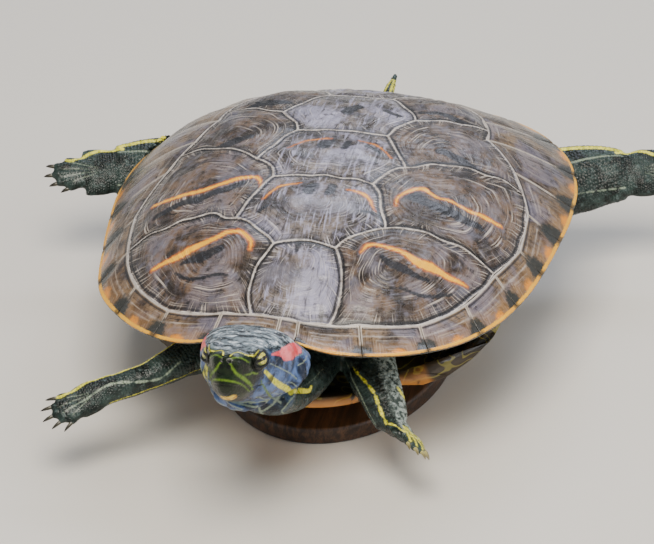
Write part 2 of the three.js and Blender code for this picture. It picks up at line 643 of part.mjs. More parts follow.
// ---- the four legs, each with the place and direction of its foot
const LEGS = {
  foreleg_left: {
    flat: [0.1, -0.6, 0.75],
    stations: [
      { at: [22, -56, -13], wide: 14, thick: 10 },
      { at: [29.2, -78.5, -15], wide: 12.2, thick: 8.5 },
      { at: [37.2, -93, -21.5], wide: 9.8, thick: 6.8 },
      { at: [43.2, -100.5, -30.5], wide: 7.4, thick: 4.8 },
    ],
    foot: { kind: FRONT_FOOT, clawed: 5, spread: 8, ahead: [0.64, -0.77, 0], up: [0.64, 0.2, 0.8] },
  },
  foreleg_right: {
    flat: [0.1, -0.6, 0.8],
    stations: [
      { at: [-26, -58, -13], wide: 14, thick: 10 },
      { at: [-48, -84, -14], wide: 9, thick: 8 },
      { at: [-63, -99, -16.5], wide: 6.6, thick: 6 },
      { at: [-80.4, -108.4, -20], wide: 6.4, thick: 4.8 },
    ],
    foot: { kind: FRONT_FOOT, clawed: 5, spread: 11, ahead: [-0.78, -0.56, -0.22], up: [0.1, -0.6, 0.8] },
  },
  hindleg_left: {
    flat: [0.05, -0.7, 0.7],
    stations: [
      { at: [40, 68, -15], wide: 13, thick: 11 },
      { at: [72, 84, -15], wide: 17, thick: 9.5 },
      { at: [97, 95, -13.5], wide: 15.5, thick: 7.5 },
      { at: [113, 97.5, -12], wide: 12, thick: 5.2 },
    ],
    foot: { kind: HIND_FOOT, clawed: 4, spread: 10, ahead: [0.98, 0.16, 0.08], up: [0.05, -0.66, 0.74] },
  },
  hindleg_right: {
    flat: [-0.05, -0.7, 0.7],
    stations: [
      { at: [-40, 68, -15], wide: 13, thick: 11 },
      { at: [-74, 77, -15], wide: 17, thick: 9.5 },
      { at: [-98, 73, -14], wide: 16, thick: 7.5 },
      { at: [-114, 68, -12.5], wide: 12.5, thick: 5.2 },
    ],
    foot: { kind: HIND_FOOT, clawed: 4, spread: 10, ahead: [-0.92, -0.36, 0.06], up: [-0.1, -0.68, 0.72] },
  },
};
const TAIL = [
  { at: [0, 66, -18], wide: 13, thick: 9 },
  { at: [0, 94, -17], wide: 9.5, thick: 7.5 },
  { at: [-2.5, 120, -15], wide: 6.4, thick: 5.4 },
  { at: [-5.5, 145, -12], wide: 3.8, thick: 3.4 },
  { at: [-4.5, 168, -8], wide: 1.2, thick: 1.1 },
];

let flesh = trunkSolid().add(headSolid());
flesh = flesh.add(limb(NECK, [0, -0.3, 1], 16, 9));
flesh = flesh.add(limb(TAIL, [0, 0, 1], 8, 6));
for (const { flat, stations, foot } of Object.values(LEGS)) {
  const wrist = stations[stations.length - 1].at;
  flesh = flesh.add(limb(stations, flat, 12, 5));
  flesh = flesh.add(placeFoot(footSolid(foot), wrist, foot.ahead, foot.up));
}
for (const side of [LEFT, RIGHT]) flesh = flesh.subtract(solidOf(eyeGeometry(side, EYE.radius + CUT)));
flesh = flesh.subtract(rimClearance());
for (const shift of [[0, 0, 2 * CUT], [0, CUT, CUT], [0, -CUT, CUT]]) {
  flesh = flesh.subtract(solidOf(plastronGeometry()).translate(shift));
}

// ---------------------------------------------------------------- thin cuts that part the flesh
// A square blade across a line, at a point, facing along the given direction.
function blade(at, facing, size) {
  const turn = new THREE.Quaternion().setFromUnitVectors(v3(0, 0, 1), v3(...facing).normalize());
  const matrix = new THREE.Matrix4().compose(v3(...at), turn, v3(1, 1, 1));
  return solidOf(new THREE.BoxGeometry(size, size, CUT).applyMatrix4(matrix));
}
const between = (a, b, t) => a.map((value, i) => lerp(value, b[i], t));
const difference = (a, b) => b.map((value, i) => value - a[i]);
function bladeAcross(stations, index, t, size) {
  const [a, b] = [stations[index].at, stations[index + 1].at];
  return blade(between(a, b, t), difference(a, b), size);
}

// The mouth: a slit from the beak back to the corner, and a cut from there down behind the chin.
function mouthBlades() {
  const { frontHeight, corner, cornerHeight, cheekSlope } = MOUTH;
  const slope = Math.atan2(cornerHeight - frontHeight, corner);
  const slit = new THREE.BoxGeometry(60, corner + 5, CUT).translate(0, (corner - 5) / 2, 0);
  const back = new THREE.BoxGeometry(60, CUT, 30).translate(0, 0, -15 + CUT / 2).rotateX(radians(cheekSlope));
  slit.rotateX(slope).translate(0, 0, frontHeight);
  back.translate(0, corner, cornerHeight);
  return [inHead(slit), inHead(back)];
}

const neckToHead = headPlace(0, HEAD_CUT, -4);
const headAhead = headPlace(0, -1, 0).sub(headPlace(0, 0, 0));
const cuts = [
  bladeAcross(NECK, 1, 0.62, 62),
  blade(neckToHead.toArray(), headAhead.toArray(), 60),
  ...mouthBlades(),
  bladeAcross(TAIL, 1, 0.0, 34),
  ...Object.values(LEGS).map(({ stations }) => bladeAcross(stations, 1, 0.2, 44)),
  ...Object.values(LEGS).map(({ stations }) => bladeAcross(stations, 2, 0.86, 26)),
];
for (const cut of cuts) flesh = flesh.subtract(cut);

// Each parted body takes the name whose marker lies nearest its middle.
const footMarker = ({ stations, foot }) =>
  v3(...stations[3].at).addScaledVector(v3(...foot.ahead).normalize(), foot.kind.palm);
const legMarker = ({ stations }) => v3(...between(stations[1].at, stations[3].at, 0.45));
const markers = {
  trunk: v3(0, 0, 10),
  neck: v3(...NECK[3].at),
  head: headPlace(0, 20, 0),
  lower_jaw: headPlace(0, 14, -15),
  tail: v3(...TAIL[2].at),
};
for (const [name, leg] of Object.entries(LEGS)) {
  markers[name] = legMarker(leg);
  markers[name.replace("leg", "foot")] = footMarker(leg);
}
const body = new THREE.Group();
const SLIVER = 20; // mm3, smaller crumbs of a cut are dropped
const SMOOTHING = 0.06; // the needle-thin facets that the cuts leave are merged to within this
for (const parted of flesh.decompose()) {
  if (parted.volume() < SLIVER) continue;
  const piece = parted.simplify(SMOOTHING);
  const box = piece.boundingBox();
  const middle = v3(...between([...box.min], [...box.max], 0.5));
  const away = (name) => markers[name].distanceTo(middle);
  const [name] = Object.keys(markers).sort((a, b) => away(a) - away(b));
  const colour = name === "lower_jaw" ? COLOURS.beak : COLOURS.skin;
  addMesh(body, name, geometryOf(piece), material(colour, 0.45));
}
addMesh(body, "eye_left", eyeGeometry(LEFT, EYE.radius), material(COLOURS.eye, 0.1));
addMesh(body, "eye_right", eyeGeometry(RIGHT, EYE.radius), material(COLOURS.eye, 0.1));

// ---------------------------------------------------------------- display stand
const BASE = { halfWidth: 52, halfLength: 78, thickness: 8, edge: 1.5 };
const ROD = { radius: 3.2, sides: 16, ahead: -34, behind: 40 };

function baseGeometry() {
  const { halfWidth, halfLength, thickness, edge } = BASE;
  const outline = new THREE.Shape().absellipse(0, 0, halfWidth - edge, halfLength - edge, 0, 2 * Math.PI);
  const settings = {
    depth: thickness - 2 * edge,
    bevelThickness: edge,
    bevelSize: edge,
    bevelSegments: 1,
    curveSegments: 14,
  };
  return new THREE.ExtrudeGeometry(outline, settings).translate(0, 0, edge);
}

function rodGeometry(y) {
  const bottom = BASE.thickness + GAP;
  const top = BELLY_CLEARANCE - GAP;
  const upright = new THREE.CylinderGeometry(ROD.radius, ROD.radius, top - bottom, ROD.sides);
  return upright.rotateX(Math.PI / 2).translate(0, y, (top + bottom) / 2);
}

const stand = new THREE.Group();
addMesh(stand, "stand_base", baseGeometry(), material(COLOURS.base, 0.4));
addMesh(stand, "stand_rod_front", rodGeometry(ROD.ahead), material(COLOURS.brass, 0.3, 1));
addMesh(stand, "stand_rod_rear", rodGeometry(ROD.behind), material(COLOURS.brass, 0.3, 1));

const turtle = new THREE.Group();
turtle.add(shell, body);
turtle.position.set(0, 0, RIM_HEIGHT);
const model = new THREE.Group();
model.add(turtle, stand);

export default model;
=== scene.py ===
# %% [markdown]
# # A red-eared slider, still and life-size
#
# The turtle is a set of hard plates (the shell), one soft skin, two wet eyes and eighteen small claws,
# on a plain display stand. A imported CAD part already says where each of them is. This notebook gives
# every one of those parts its real surface, without moving or resizing any of them.
# Lengths are in millimetres in the shell's own frame: x to the turtle's left, y to its tail, z up,
# with z = 0 at the shell's rim. Blender works in metres, so one small function converts.

# %% Load the CAD part
import json
import math

import bpy
import numpy as np
from mathutils import Matrix, Vector

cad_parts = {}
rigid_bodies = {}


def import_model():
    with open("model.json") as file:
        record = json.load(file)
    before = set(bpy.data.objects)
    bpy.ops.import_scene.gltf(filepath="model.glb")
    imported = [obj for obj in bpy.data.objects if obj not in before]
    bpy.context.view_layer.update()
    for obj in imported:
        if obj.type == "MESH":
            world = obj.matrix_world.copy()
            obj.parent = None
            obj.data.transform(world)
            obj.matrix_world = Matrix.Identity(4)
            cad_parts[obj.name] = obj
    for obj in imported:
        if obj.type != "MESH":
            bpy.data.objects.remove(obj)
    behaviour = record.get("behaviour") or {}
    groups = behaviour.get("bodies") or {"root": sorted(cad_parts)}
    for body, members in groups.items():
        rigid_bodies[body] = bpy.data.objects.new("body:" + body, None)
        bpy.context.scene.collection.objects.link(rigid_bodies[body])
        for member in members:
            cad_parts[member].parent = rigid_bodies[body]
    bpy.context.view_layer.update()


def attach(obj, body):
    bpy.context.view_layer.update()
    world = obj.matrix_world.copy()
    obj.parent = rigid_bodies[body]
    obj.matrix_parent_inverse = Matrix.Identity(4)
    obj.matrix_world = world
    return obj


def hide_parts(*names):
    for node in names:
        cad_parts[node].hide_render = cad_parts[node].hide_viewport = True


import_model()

# %% [markdown]
# ## Sizes
# These are the driving sizes of the part. The shell is an oval, a little squarer than an ellipse and
# broader behind, and it is a low dome. Every plate is cut from that one dome, so the same few
# numbers place all thirty-eight plates.

# %% Driving sizes
HALF_LENGTH = 238 / 2
HALF_WIDTH = 196 / 2
DOME_HEIGHT = 43
RIM_HEIGHT = 58  # of the rim above the floor
OVAL_POWER = 2.7
REAR_BROADENING = 0.12
DOME_POWER = 3.1
END_FLARE, SIDE_FLARE = 38, 14
FRONT_LIFT, REAR_LIFT = 6, 4.5
RIM_POWER = 10  # the next two act on the outermost part only
RIM_LIFT = 6.4  # flares the front rim upwards
RIM_TILT = 0.026  # the left rim is carried higher than the right one
NECK_NOTCH = {"depth": 6.5, "lift": 5.5, "middle": -12, "width": 24}
RIGHT_FLARE, RIGHT_FLARE_LENGTH = 5, 100  # the right rim stands out further than the left one
SHOULDER_FLARE, SHOULDER_Y, SHOULDER_WIDTH = 3, -60, 22  # and a little more beside the right shoulder
LEFT, RIGHT = 1, -1
SIDES = {"left": LEFT, "right": RIGHT}
MM = 0.001


def metres(points):
    """Millimetres in the shell's frame to metres above the floor."""
    return (np.asarray(points, float) + [0, 0, RIM_HEIGHT]) * MM


def clamp01(t):
    return np.clip(t, 0, 1)


def smooth(t):
    t = clamp01(t)
    return t * t * (3 - 2 * t)


def bell(t, width):
    return np.exp(-((t / width) ** 2))


def mix(a, b, t):
    return a + (b - a) * t


def unit(vectors):
    return vectors / np.linalg.norm(vectors, axis=-1, keepdims=True)


def travelled(line):
    """How far along a line each of its points lies."""
    return np.concatenate([[0], np.cumsum(np.linalg.norm(np.diff(line, axis=0), axis=1))])


def turned_circle(count):
    return np.linspace(0, 2 * np.pi, count, endpoint=False)


# %% [markdown]
# ## The camera
# The camera comes first, because every choice of detail depends on how near it stands. It is a long
# lens nearly three metres away, which keeps the animal's proportions true, and it looks down at the
# turtle's face from half way between level and overhead.

# %% Camera
VIEW_AZIMUTH, VIEW_ELEVATION, VIEW_ROLL = (math.radians(turn) for turn in (11.8, 30, -1.7))
VIEW_DISTANCE = 2.9
VIEW_TARGET = Vector((1.5, -28.4, RIM_HEIGHT)) * MM
FRAME_WIDTH = 0.2843  # metres across the view at the target
SENSOR = 36

rightward = Vector((math.cos(VIEW_AZIMUTH), math.sin(VIEW_AZIMUTH), 0))
level = rightward.cross(Vector((0, 0, 1)))
backward = level * math.cos(VIEW_ELEVATION) + Vector((0, 0, math.sin(VIEW_ELEVATION)))
turn = Matrix((rightward, backward.cross(rightward), backward)).transposed()
bpy.ops.object.camera_add()
camera = bpy.context.object
place = Matrix.Translation(VIEW_TARGET + backward * VIEW_DISTANCE)
camera.matrix_world = place @ turn.to_4x4() @ Matrix.Rotation(VIEW_ROLL, 4, "Z")
camera.data.sensor_width = SENSOR
camera.data.lens = SENSOR * VIEW_DISTANCE / FRAME_WIDTH
bpy.context.scene.camera = camera
print("lens", round(camera.data.lens), "mm")

# %% [markdown]
# ## The dome as a function
# On a real shell one smooth bone dome lies under all the horny plates. Here it is a formula: give it
# a place seen from above and it answers with the height. `reach` is 0 at the middle of the back and
# 1 on the rim. Plates could be sculpted one by one, but neighbours would never meet as neatly.

# %% Dome functions


def half_width_at(y):
    return HALF_WIDTH * (1 + REAR_BROADENING * y / HALF_LENGTH)


def reach_of(x, y):
    across = np.abs(x / half_width_at(y)) ** OVAL_POWER
    along = np.abs(y / HALF_LENGTH) ** OVAL_POWER
    return (across + along) ** (1 / OVAL_POWER)


def dome_point(x, y):
    reach = reach_of(x, y)
    endwise = clamp01(np.abs(y) / HALF_LENGTH / np.maximum(reach, 0.05)) ** 2
    flare = mix(SIDE_FLARE, END_FLARE, endwise) * reach**6 * (1 - reach)
    front, rear = clamp01(-y / HALF_LENGTH), clamp01(y / HALF_LENGTH)
    at_neck = front**6 * bell(x - NECK_NOTCH["middle"], NECK_NOTCH["width"])
    lift = FRONT_LIFT * front**4 + NECK_NOTCH["lift"] * at_neck + REAR_LIFT * rear**4
    lift = lift + reach**RIM_POWER * (RIM_LIFT * front**4 + RIM_TILT * x)
    height = DOME_HEIGHT * (1 - reach**DOME_POWER) - flare + lift
    outward = RIGHT_FLARE * np.exp(-((y / RIGHT_FLARE_LENGTH) ** 4))
    outward = outward + SHOULDER_FLARE * bell(y - SHOULDER_Y, SHOULDER_WIDTH)
    on_right = np.minimum(0, x / half_width_at(y))
    return np.stack([x + outward * on_right**3, y + NECK_NOTCH["depth"] * at_neck, height], -1)


def on_dome(plan, proud):
    """Points above the dome by `proud`, measured square to its surface."""
    x, y = np.asarray(plan, float)[..., 0], np.asarray(plan, float)[..., 1]
    step = 0.5
    along_x = dome_point(x + step, y) - dome_point(x - step, y)
    along_y = dome_point(x, y + step) - dome_point(x, y - step)
    return dome_point(x, y) + unit(np.cross(along_x, along_y)) * np.asarray(proud, float)[..., None]


def ripple(points, wavelength, seed):
    """Soft unevenness between about -1 and 1, from a few crossing waves."""
    rng = np.random.default_rng(seed)
    points = np.asarray(points, float)
    total = np.zeros(points.shape[:-1])
    for _ in range(7):
        direction = rng.normal(size=points.shape[-1])
        direction *= 2 * np.pi / wavelength / np.linalg.norm(direction) * rng.uniform(0.6, 1.5)
        total += np.sin(points @ direction + rng.uniform(0, 2 * np.pi))
    return total / 3


# %% [markdown]
# ## Rim and seams
# The rim is cut into twelve plates a side and one narrow nuchal plate over the neck. The seams of
# the dome run between a few junctions, each given as a share of the shell's width and length.
# Real seams wander a little, so their points are nudged by a soft ripple that depends only on place:
# both plates along a seam get the same nudge and still meet.

# %% Rim and seam lines
RIM_STEPS = 720
MARGINALS = 12
NUCHAL_HALF_WIDTH = 4.5
SEAM_STEP = 1.0
WANDER = 0.75
LOOP_REACH = {  # of the seam loop, on each whole-numbered spoke
    LEFT: [0.876, 0.867, 0.894, 0.888, 0.873, 0.89, 0.855, 0.755, 0.645, 0.69, 0.75, 0.8, 0.82],
    RIGHT: [0.876, 0.87, 0.902, 0.9, 0.878, 0.86, 0.75, 0.665, 0.63, 0.68, 0.75, 0.8, 0.82],
}
JUNCTIONS = {  # shares of the shell's half width and length
    "v1v2": (0.148, 0.216),
    "v2corner": (0.345, 0.283),
    "v2v3": (0.225, 0.41),
    "v3corner": (0.33, 0.48),
    "v3v4": (0.195, 0.585),
    "v4corner": (0.29, 0.665),
    "v4v5": (0.13, 0.775),
}
SIDE_SEAMS = {  # from a junction or a spoke of the loop to another, and how far the seam bows
    "v1": (0.5, "v1v2", -4),
    "v2front": ("v1v2", "v2corner", 1.5),
    "v2rear": ("v2corner", "v2v3", -1.5),
    "v3front": ("v2v3", "v3corner", 1.2),
    "v3rear": ("v3corner", "v3v4", -1.5),
    "v4front": ("v3v4", "v4corner", 1),
    "v4rear": ("v4corner", "v4v5", -1.5),
    "v5": ("v4v5", 10.5, 2),
    "c12": ("v2corner", 4, 3),
    "c23": ("v3corner", 6.5, 3),
    "c34": ("v4corner", 8.5, 1),
}
CROSS_BOW = {"v1v2": -2.5, "v2v3": -2.5, "v3v4": -2, "v4v5": 0}

rim_angle = np.linspace(0, np.pi, RIM_STEPS + 1)
rim_y = -HALF_LENGTH * np.sign(np.cos(rim_angle)) * np.abs(np.cos(rim_angle)) ** (2 / OVAL_POWER)
rim_x = half_width_at(rim_y) * np.abs(np.sin(rim_angle)) ** (2 / OVAL_POWER)
rim_length = travelled(np.stack([rim_x, rim_y], -1))
MARGINAL_LENGTH = (rim_length[-1] - NUCHAL_HALF_WIDTH) / MARGINALS


def spoke(number, reach, side):
    """Plan points on the spoke of a marginal number, at a share of the way out to the rim."""
    wanted = NUCHAL_HALF_WIDTH + np.asarray(number, float) * MARGINAL_LENGTH
    x = np.interp(wanted, rim_length, rim_x)
    y = np.interp(wanted, rim_length, rim_y)
    return np.stack([side * x * reach * half_width_at(y * reach) / half_width_at(y), y * reach], -1)


def loop_reach(number, side):
    return np.interp(number, range(MARGINALS + 1), LOOP_REACH[side])


def wander(plan):
    """Nudges plan points by up to about a millimetre, fading out towards the rim."""
    fade = 1 - smooth((reach_of(plan[..., 0], plan[..., 1]) - 0.7) / 0.3)
    nudge = np.stack([ripple(plan, 21, 3), ripple(plan, 19, 4)], -1)
    return plan + WANDER * fade[..., None] * nudge


def loop(start, end, side):
    """The seam between the dome and the rim, from one spoke to another."""
    steps = max(2, round(abs(end - start) * MARGINAL_LENGTH / SEAM_STEP))
    number = np.linspace(start, end, steps + 1)
    return spoke(number, loop_reach(number, side), side)


def seam_end(where, side):
    """A named junction, or a spoke's place on the loop."""
    if where not in JUNCTIONS:
        return spoke(where, loop_reach(where, side), side)
    across, along = JUNCTIONS[where]
    y = (2 * along - 1) * HALF_LENGTH
    return np.array([side * across * half_width_at(y), y])


def seam(a, b, bow=0):
    length = np.linalg.norm(b - a)
    t = np.linspace(0, 1, max(2, round(length / SEAM_STEP)) + 1)[:, None]
    normal = np.array([a[1] - b[1], b[0] - a[0]]) / length
    return mix(a, b, t) + normal * bow * 4 * t * (1 - t)


SEAMS = {
    side: {
        name: seam(seam_end(a, side), seam_end(b, side), side * bow)
        for name, (a, b, bow) in SIDE_SEAMS.items()
    }
    for side in (LEFT, RIGHT)
}
CROSS = [seam(seam_end(name, LEFT), seam_end(name, RIGHT), bow) for name, bow in CROSS_BOW.items()]


def outline(*runs):
    """One closed line from runs that each start where the last one ends."""
    return np.concatenate([run[:-1] for run in runs])


def costal_outlines(side):
    s = SEAMS[side]
    return [
        outline(s["v1"], s["v2front"], s["c12"], loop(4, 0.5, side)),
        outline(s["v2rear"], s["v3front"], s["c23"], loop(6.5, 4, side), s["c12"][::-1]),
        outline(s["v3rear"], s["v4front"], s["c34"], loop(8.5, 6.5, side), s["c23"][::-1]),
        outline(s["v4rear"], s["v5"], loop(10.5, 8.5, side), s["c34"][::-1]),
    ]


def vertebral_outline(front, names, rear):
    """Down the left side, across the back, up the right side and across the front."""
    down = [SEAMS[LEFT][name] for name in names]
    up = [SEAMS[RIGHT][name][::-1] for name in reversed(names)]
    return outline(*down, rear, *up, front)


over_neck = seam(seam_end(0, RIGHT), seam_end(0, LEFT))
front_loop = np.concatenate([outline(loop(0.5, 0, RIGHT), over_neck), loop(0, 0.5, LEFT)])
rear_loop = np.concatenate([loop(10.5, 12, LEFT)[:-1], loop(12, 10.5, RIGHT)])
fronts = [front_loop, *(line[::-1] for line in CROSS)]
SEAM_NAMES = [["v1"], *([f"v{n}front", f"v{n}rear"] for n in (2, 3, 4)), ["v5"]]
plates = {
    f"vertebral_{number + 1}": vertebral_outline(*runs)
    for number, runs in enumerate(zip(fronts, SEAM_NAMES, [*CROSS, rear_loop]))
}
for word, side in SIDES.items():
    for number, border in enumerate(costal_outlines(side)):
        plates[f"costal_{word}_{number + 1}"] = border
print("outline points of the second vertebral plate:", len(plates["vertebral_2"]))

# %% [markdown]
# ## Small tools for meshes
# A closed skin of quads is easiest to make from Blender's own grid primitive: it arrives with rows
# and columns of vertices, which are then laid on the wanted shape. Where the grid closes on itself,
# as round a plate or a limb, the doubled vertices are merged afterwards. A few numbers are stored on
# the vertices too. They say how far a point is from a seam or from the edge of a marking, and the
# materials turn them into crisp lines that don't depend on how fine the mesh is.

# %% Mesh helpers


def read(items, key, width=1, kind=float):
    """One property of all vertices, corners or faces, as an array with a row for each."""
    flat = np.empty(width * len(items), kind)
    items.foreach_get(key, flat)
    return flat.reshape(-1, width) if width > 1 else flat


def places(piece):
    """The piece's vertices in millimetres in the shell's frame."""
    return read(piece.data.vertices, "co", 3) / MM - [0, 0, RIM_HEIGHT]


def move_to(piece, points):
    piece.data.vertices.foreach_set("co", metres(points).reshape(-1))
    piece.data.update()


def select_only(*pieces):
    """Selects the pieces and makes the first one active."""
    bpy.ops.object.select_all(action="DESELECT")
    for piece in pieces:
        piece.select_set(True)
    bpy.context.view_layer.objects.active = pieces[0]


def named(piece, name):
    piece.name = piece.data.name = name
    return piece


def joined(name, pieces):
    select_only(*pieces)
    bpy.ops.object.join()
    return named(bpy.context.object, name)


def write_uv(piece, name, coordinates):
    """Stores a pair of numbers for each vertex as a UV map."""
    layer = piece.data.uv_layers[0] if piece.data.uv_layers else piece.data.uv_layers.new()
    layer.name = name
    corners = read(piece.data.loops, "vertex_index", kind=int)
    layer.data.foreach_set("uv", coordinates.reshape(-1, 2)[corners].reshape(-1))


def laid_grid(name, points, growth=None):
    """A grid primitive whose vertices are laid on an array of points (rows, columns, 3)."""
    rows, columns = points.shape[:2]
    bpy.ops.object.select_all(action="DESELECT")
    bpy.ops.mesh.primitive_grid_add(x_subdivisions=columns - 1, y_subdivisions=rows - 1)
    piece = named(bpy.context.object, name)
    if growth is not None:
        write_uv(piece, "Growth", growth)
    move_to(piece, points)
    return piece


def write_marks(piece, marks):
    """Stores arrays of numbers, one for each vertex, under their names."""
    for name, values in marks.items():
        layer = piece.data.attributes.new(name, "FLOAT", "POINT")
        layer.data.foreach_set("value", np.asarray(values, np.float32).reshape(-1))


def close_up(piece):
    """Merges doubled vertices, turns all faces outward and shades them smooth."""
    select_only(piece)
    bpy.ops.object.mode_set(mode="EDIT")
    bpy.ops.mesh.select_all(action="SELECT")
    bpy.ops.mesh.remove_doubles(threshold=0.002 * MM)
    bpy.ops.mesh.normals_make_consistent(inside=False)
    bpy.ops.object.mode_set(mode="OBJECT")
    bpy.ops.object.shade_smooth()


def with_ends(grid, shrink=False):
    """Repeats a grid's first and last columns, or shrinks the new ones to their middles."""
    ends = np.stack([grid[:, 0], grid[:, -1]], 1)
    if shrink:
        ends = np.tile(ends[:-1].mean(0), (len(grid), 1, 1))
    return np.concatenate([ends[:, :1], grid, ends[:, 1:]], 1)


def hand_over(piece, material, slot, *nodes):
    """Gives a finished piece its material, hangs it on the part's root body and hides the nodes that it
    stands for.
    """
    piece.data.materials.append(material)
    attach(piece, "root")
    if nodes:
        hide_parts(*nodes)


def curve_through(points, count):
    """A smooth Catmull-Rom line of `count` points through the given ones."""
    points = np.asarray(points, float)
    padded = np.concatenate([[2 * points[0] - points[1]], points, [2 * points[-1] - points[-2]]])
    place = np.linspace(0, len(points) - 1, count)
    i = np.minimum(place.astype(int), len(points) - 2)
    t = (place - i)[:, None]
    a, b, c, d = (padded[i + k] for k in range(4))
    bend = (2 * a - 5 * b + 4 * c - d) * t**2 + (3 * b - a - 3 * c + d) * t**3
    return 0.5 * (2 * b + (c - a) * t + bend)


def distance_to_line(points, line, half_widths=None):
    """Distance of each point from a line or from a band's edge, and the nearest place along it."""
    nearest = np.full(len(points), 1e6)
    place = np.zeros(len(points))
    start = travelled(line)
    wide = np.zeros(len(line)) if half_widths is None else half_widths
    for i, (a, step) in enumerate(zip(line, np.diff(line, axis=0))):
        t = clamp01((points - a) @ step / max(step @ step, 1e-9))
        gap = np.linalg.norm(points - a - t[:, None] * step, axis=1) - mix(wide[i], wide[i + 1], t)
        closer = gap < nearest
        nearest[closer] = gap[closer]
        place[closer] = mix(start[i], start[i + 1], t[closer])
    return nearest, place


# %% [markdown]
# ## Small tools for materials
# A material is a little network of nodes. A `Recipe` holds one network and the colour that has been
# laid in it so far. Its `add` makes a node with its settings and links, `tones` mixes two pigments by a
# pattern, and `paint` lays one more tint over the colour, as a painter glazes. Colours are the hex
# codes that a painter would pick, turned into the linear values that Blender mixes.

# %% Material helpers


def linear(code):
    """An sRGB hex code to a linear colour with alpha."""
    parts = [int(code[i : i + 2], 16) / 255 for i in (1, 3, 5)]
    return (*(c / 12.92 if c <= 0.04045 else ((c + 0.055) / 1.055) ** 2.4 for c in parts), 1.0)


class Recipe:
    """One material's network, and the colour that is built up in it layer by layer."""

    def __init__(self, name, raggedness=0):
        self.material = bpy.data.materials.new(name)
        self.material.use_nodes = True
        self.tree = self.material.node_tree
        self.tree.nodes.clear()
        self.place = self.add("TexCoord")["Object"]
        if raggedness:
            self.ragged = self.maths("SUBTRACT", self.noise(raggedness, 2), 0.5)

    def add(self, kind, settings=None, **inputs):
        """Adds a node. Inputs are values, hex colours, or sockets of earlier nodes to link from."""
        node = self.tree.nodes.new("ShaderNode" + kind)
        for key, value in (settings or {}).items():
            setattr(node, key, value)
        for key, value in inputs.items():
            by_number = key[0] == "i" and key[1:].isdigit()
            socket = node.inputs[int(key[1:]) if by_number else key]
            if isinstance(value, bpy.types.NodeSocket):
                self.tree.links.new(value, socket)
            else:
                socket.default_value = linear(value) if isinstance(value, str) else value
        return node.outputs

    def marks(self, *names):
        """Numbers stored on the mesh's vertices."""
        return [self.add("Attribute", {"attribute_name": name})["Fac"] for name in names]

    def growth(self):
        """The way along a plate's edge and out from its middle."""
        return self.add("UVMap", {"uv_map": "Growth"})["UV"]

    def maths(self, operation, a, b=0.0, c=0.0):
        return self.add("Math", {"operation": operation}, i0=a, i1=b, i2=c)[0]

    def times(self, a, b):
        return self.maths("MULTIPLY", a, b)

    def away(self, value, middle):
        return self.maths("ABSOLUTE", self.maths("SUBTRACT", value, middle))

    def torn(self, value, amount):
        """A distance made ragged by fine noise."""
        return self.maths("MULTIPLY_ADD", self.ragged, amount, value)

    def ramp(self, value, start, end, low=0.0, high=1.0):
        """A soft step: `low` before start, `high` after end."""
        settings = {"interpolation_type": "SMOOTHSTEP"}
        return self.add("MapRange", settings, i0=value, i1=start, i2=end, i3=low, i4=high)[0]

    def blend(self, share, a, b):
        return self.add("Mix", {"data_type": "RGBA"}, i0=share, i6=a, i7=b)[2]

    def tones(self, value, start, end, a, b):
        return self.blend(self.ramp(value, start, end), a, b)

    def paint(self, tint, value, *step):
        """Lays a tint over the colour by a share, or by a soft step of a value."""
        share = self.ramp(value, *step) if step else value
        self.colour = self.blend(share, self.colour, tint)

    def noise(self, scale, detail=3.0, rough=0.55, distortion=0.0, along=None):
        """Clouds of one scale, or stretched ones with a scale for each axis of a vector."""
        where = self.place if along is None else along
        if isinstance(scale, tuple):
            where = self.add("Mapping", Vector=where, Scale=scale)[0]
            scale = 1
        look = {"Scale": scale, "Detail": detail, "Roughness": rough, "Distortion": distortion}
        return self.add("TexNoise", Vector=where, **look)["Fac"]

    def finish(self, roughness, bumps=(), coat=0.0, coat_roughness=0.1, specular=0.5, metal=0.0):
        """The surface shader over a chain of bumps (height, distance in metres)."""
        surface = {
            "Base Color": self.colour,
            "Roughness": roughness,
            "Metallic": metal,
            "Coat Weight": coat,
            "Coat Roughness": coat_roughness,
            "Specular IOR Level": specular,
        }
        for height, distance in bumps:
            under = {"Normal": surface["Normal"]} if "Normal" in surface else {}
            bump = self.add("Bump", Height=height, Strength=1.0, Distance=distance, **under)
            surface["Normal"] = bump["Normal"]
        self.add("OutputMaterial", Surface=self.add("BsdfPrincipled", **surface)["BSDF"])
        return self.material

# %% [markdown]
# ## One horny plate
# A scute grows like a tree: each year adds a ring round the old plate, so the rings are smaller
# copies of its outline, nested round the spot where it began (the areola). The plate here is a grid
# wound round that spot. Its rows are the growth rings, so ridges along the rows are growth ridges.
# Along each seam runs a flush pale bead of new horn with a fine groove inside it. The last rows turn
# down and under, which closes the plate.

# %% A plate of the dome
PLATE_DEPTH = 3.2
RING_ROWS, EDGE_ROWS, EDGE_SHARE = 58, 9, 0.1  # finer rows near the seam
UNDER_ROWS = (1, 0.5, 0)
CROWN = 1.15  # of a plate's middle over the dome
GROOVE_DEPTH, GROOVE_WIDTH = 0.42, 0.9
BEAD_HEIGHT, BEAD_WIDTH = 0.34, 0.483
YEARS = 11
FAR = 50.0  # the distance to a marking that a plate doesn't have

ROWS = np.linspace(0, 1 - EDGE_SHARE, RING_ROWS)
ROWS = np.concatenate([ROWS, np.linspace(1 - EDGE_SHARE, 1, EDGE_ROWS + 1)[1:]])


def swell(edge, height, width):
    """The rise of a plate from its groove to its crown."""
    rise = 1 - np.exp(-np.maximum(edge - GROOVE_WIDTH, 0) / width)
    return (height + GROOVE_DEPTH) * rise - GROOVE_DEPTH


def bead_relief(edge, width):
    return BEAD_HEIGHT * np.exp(-((edge / width) ** 4))


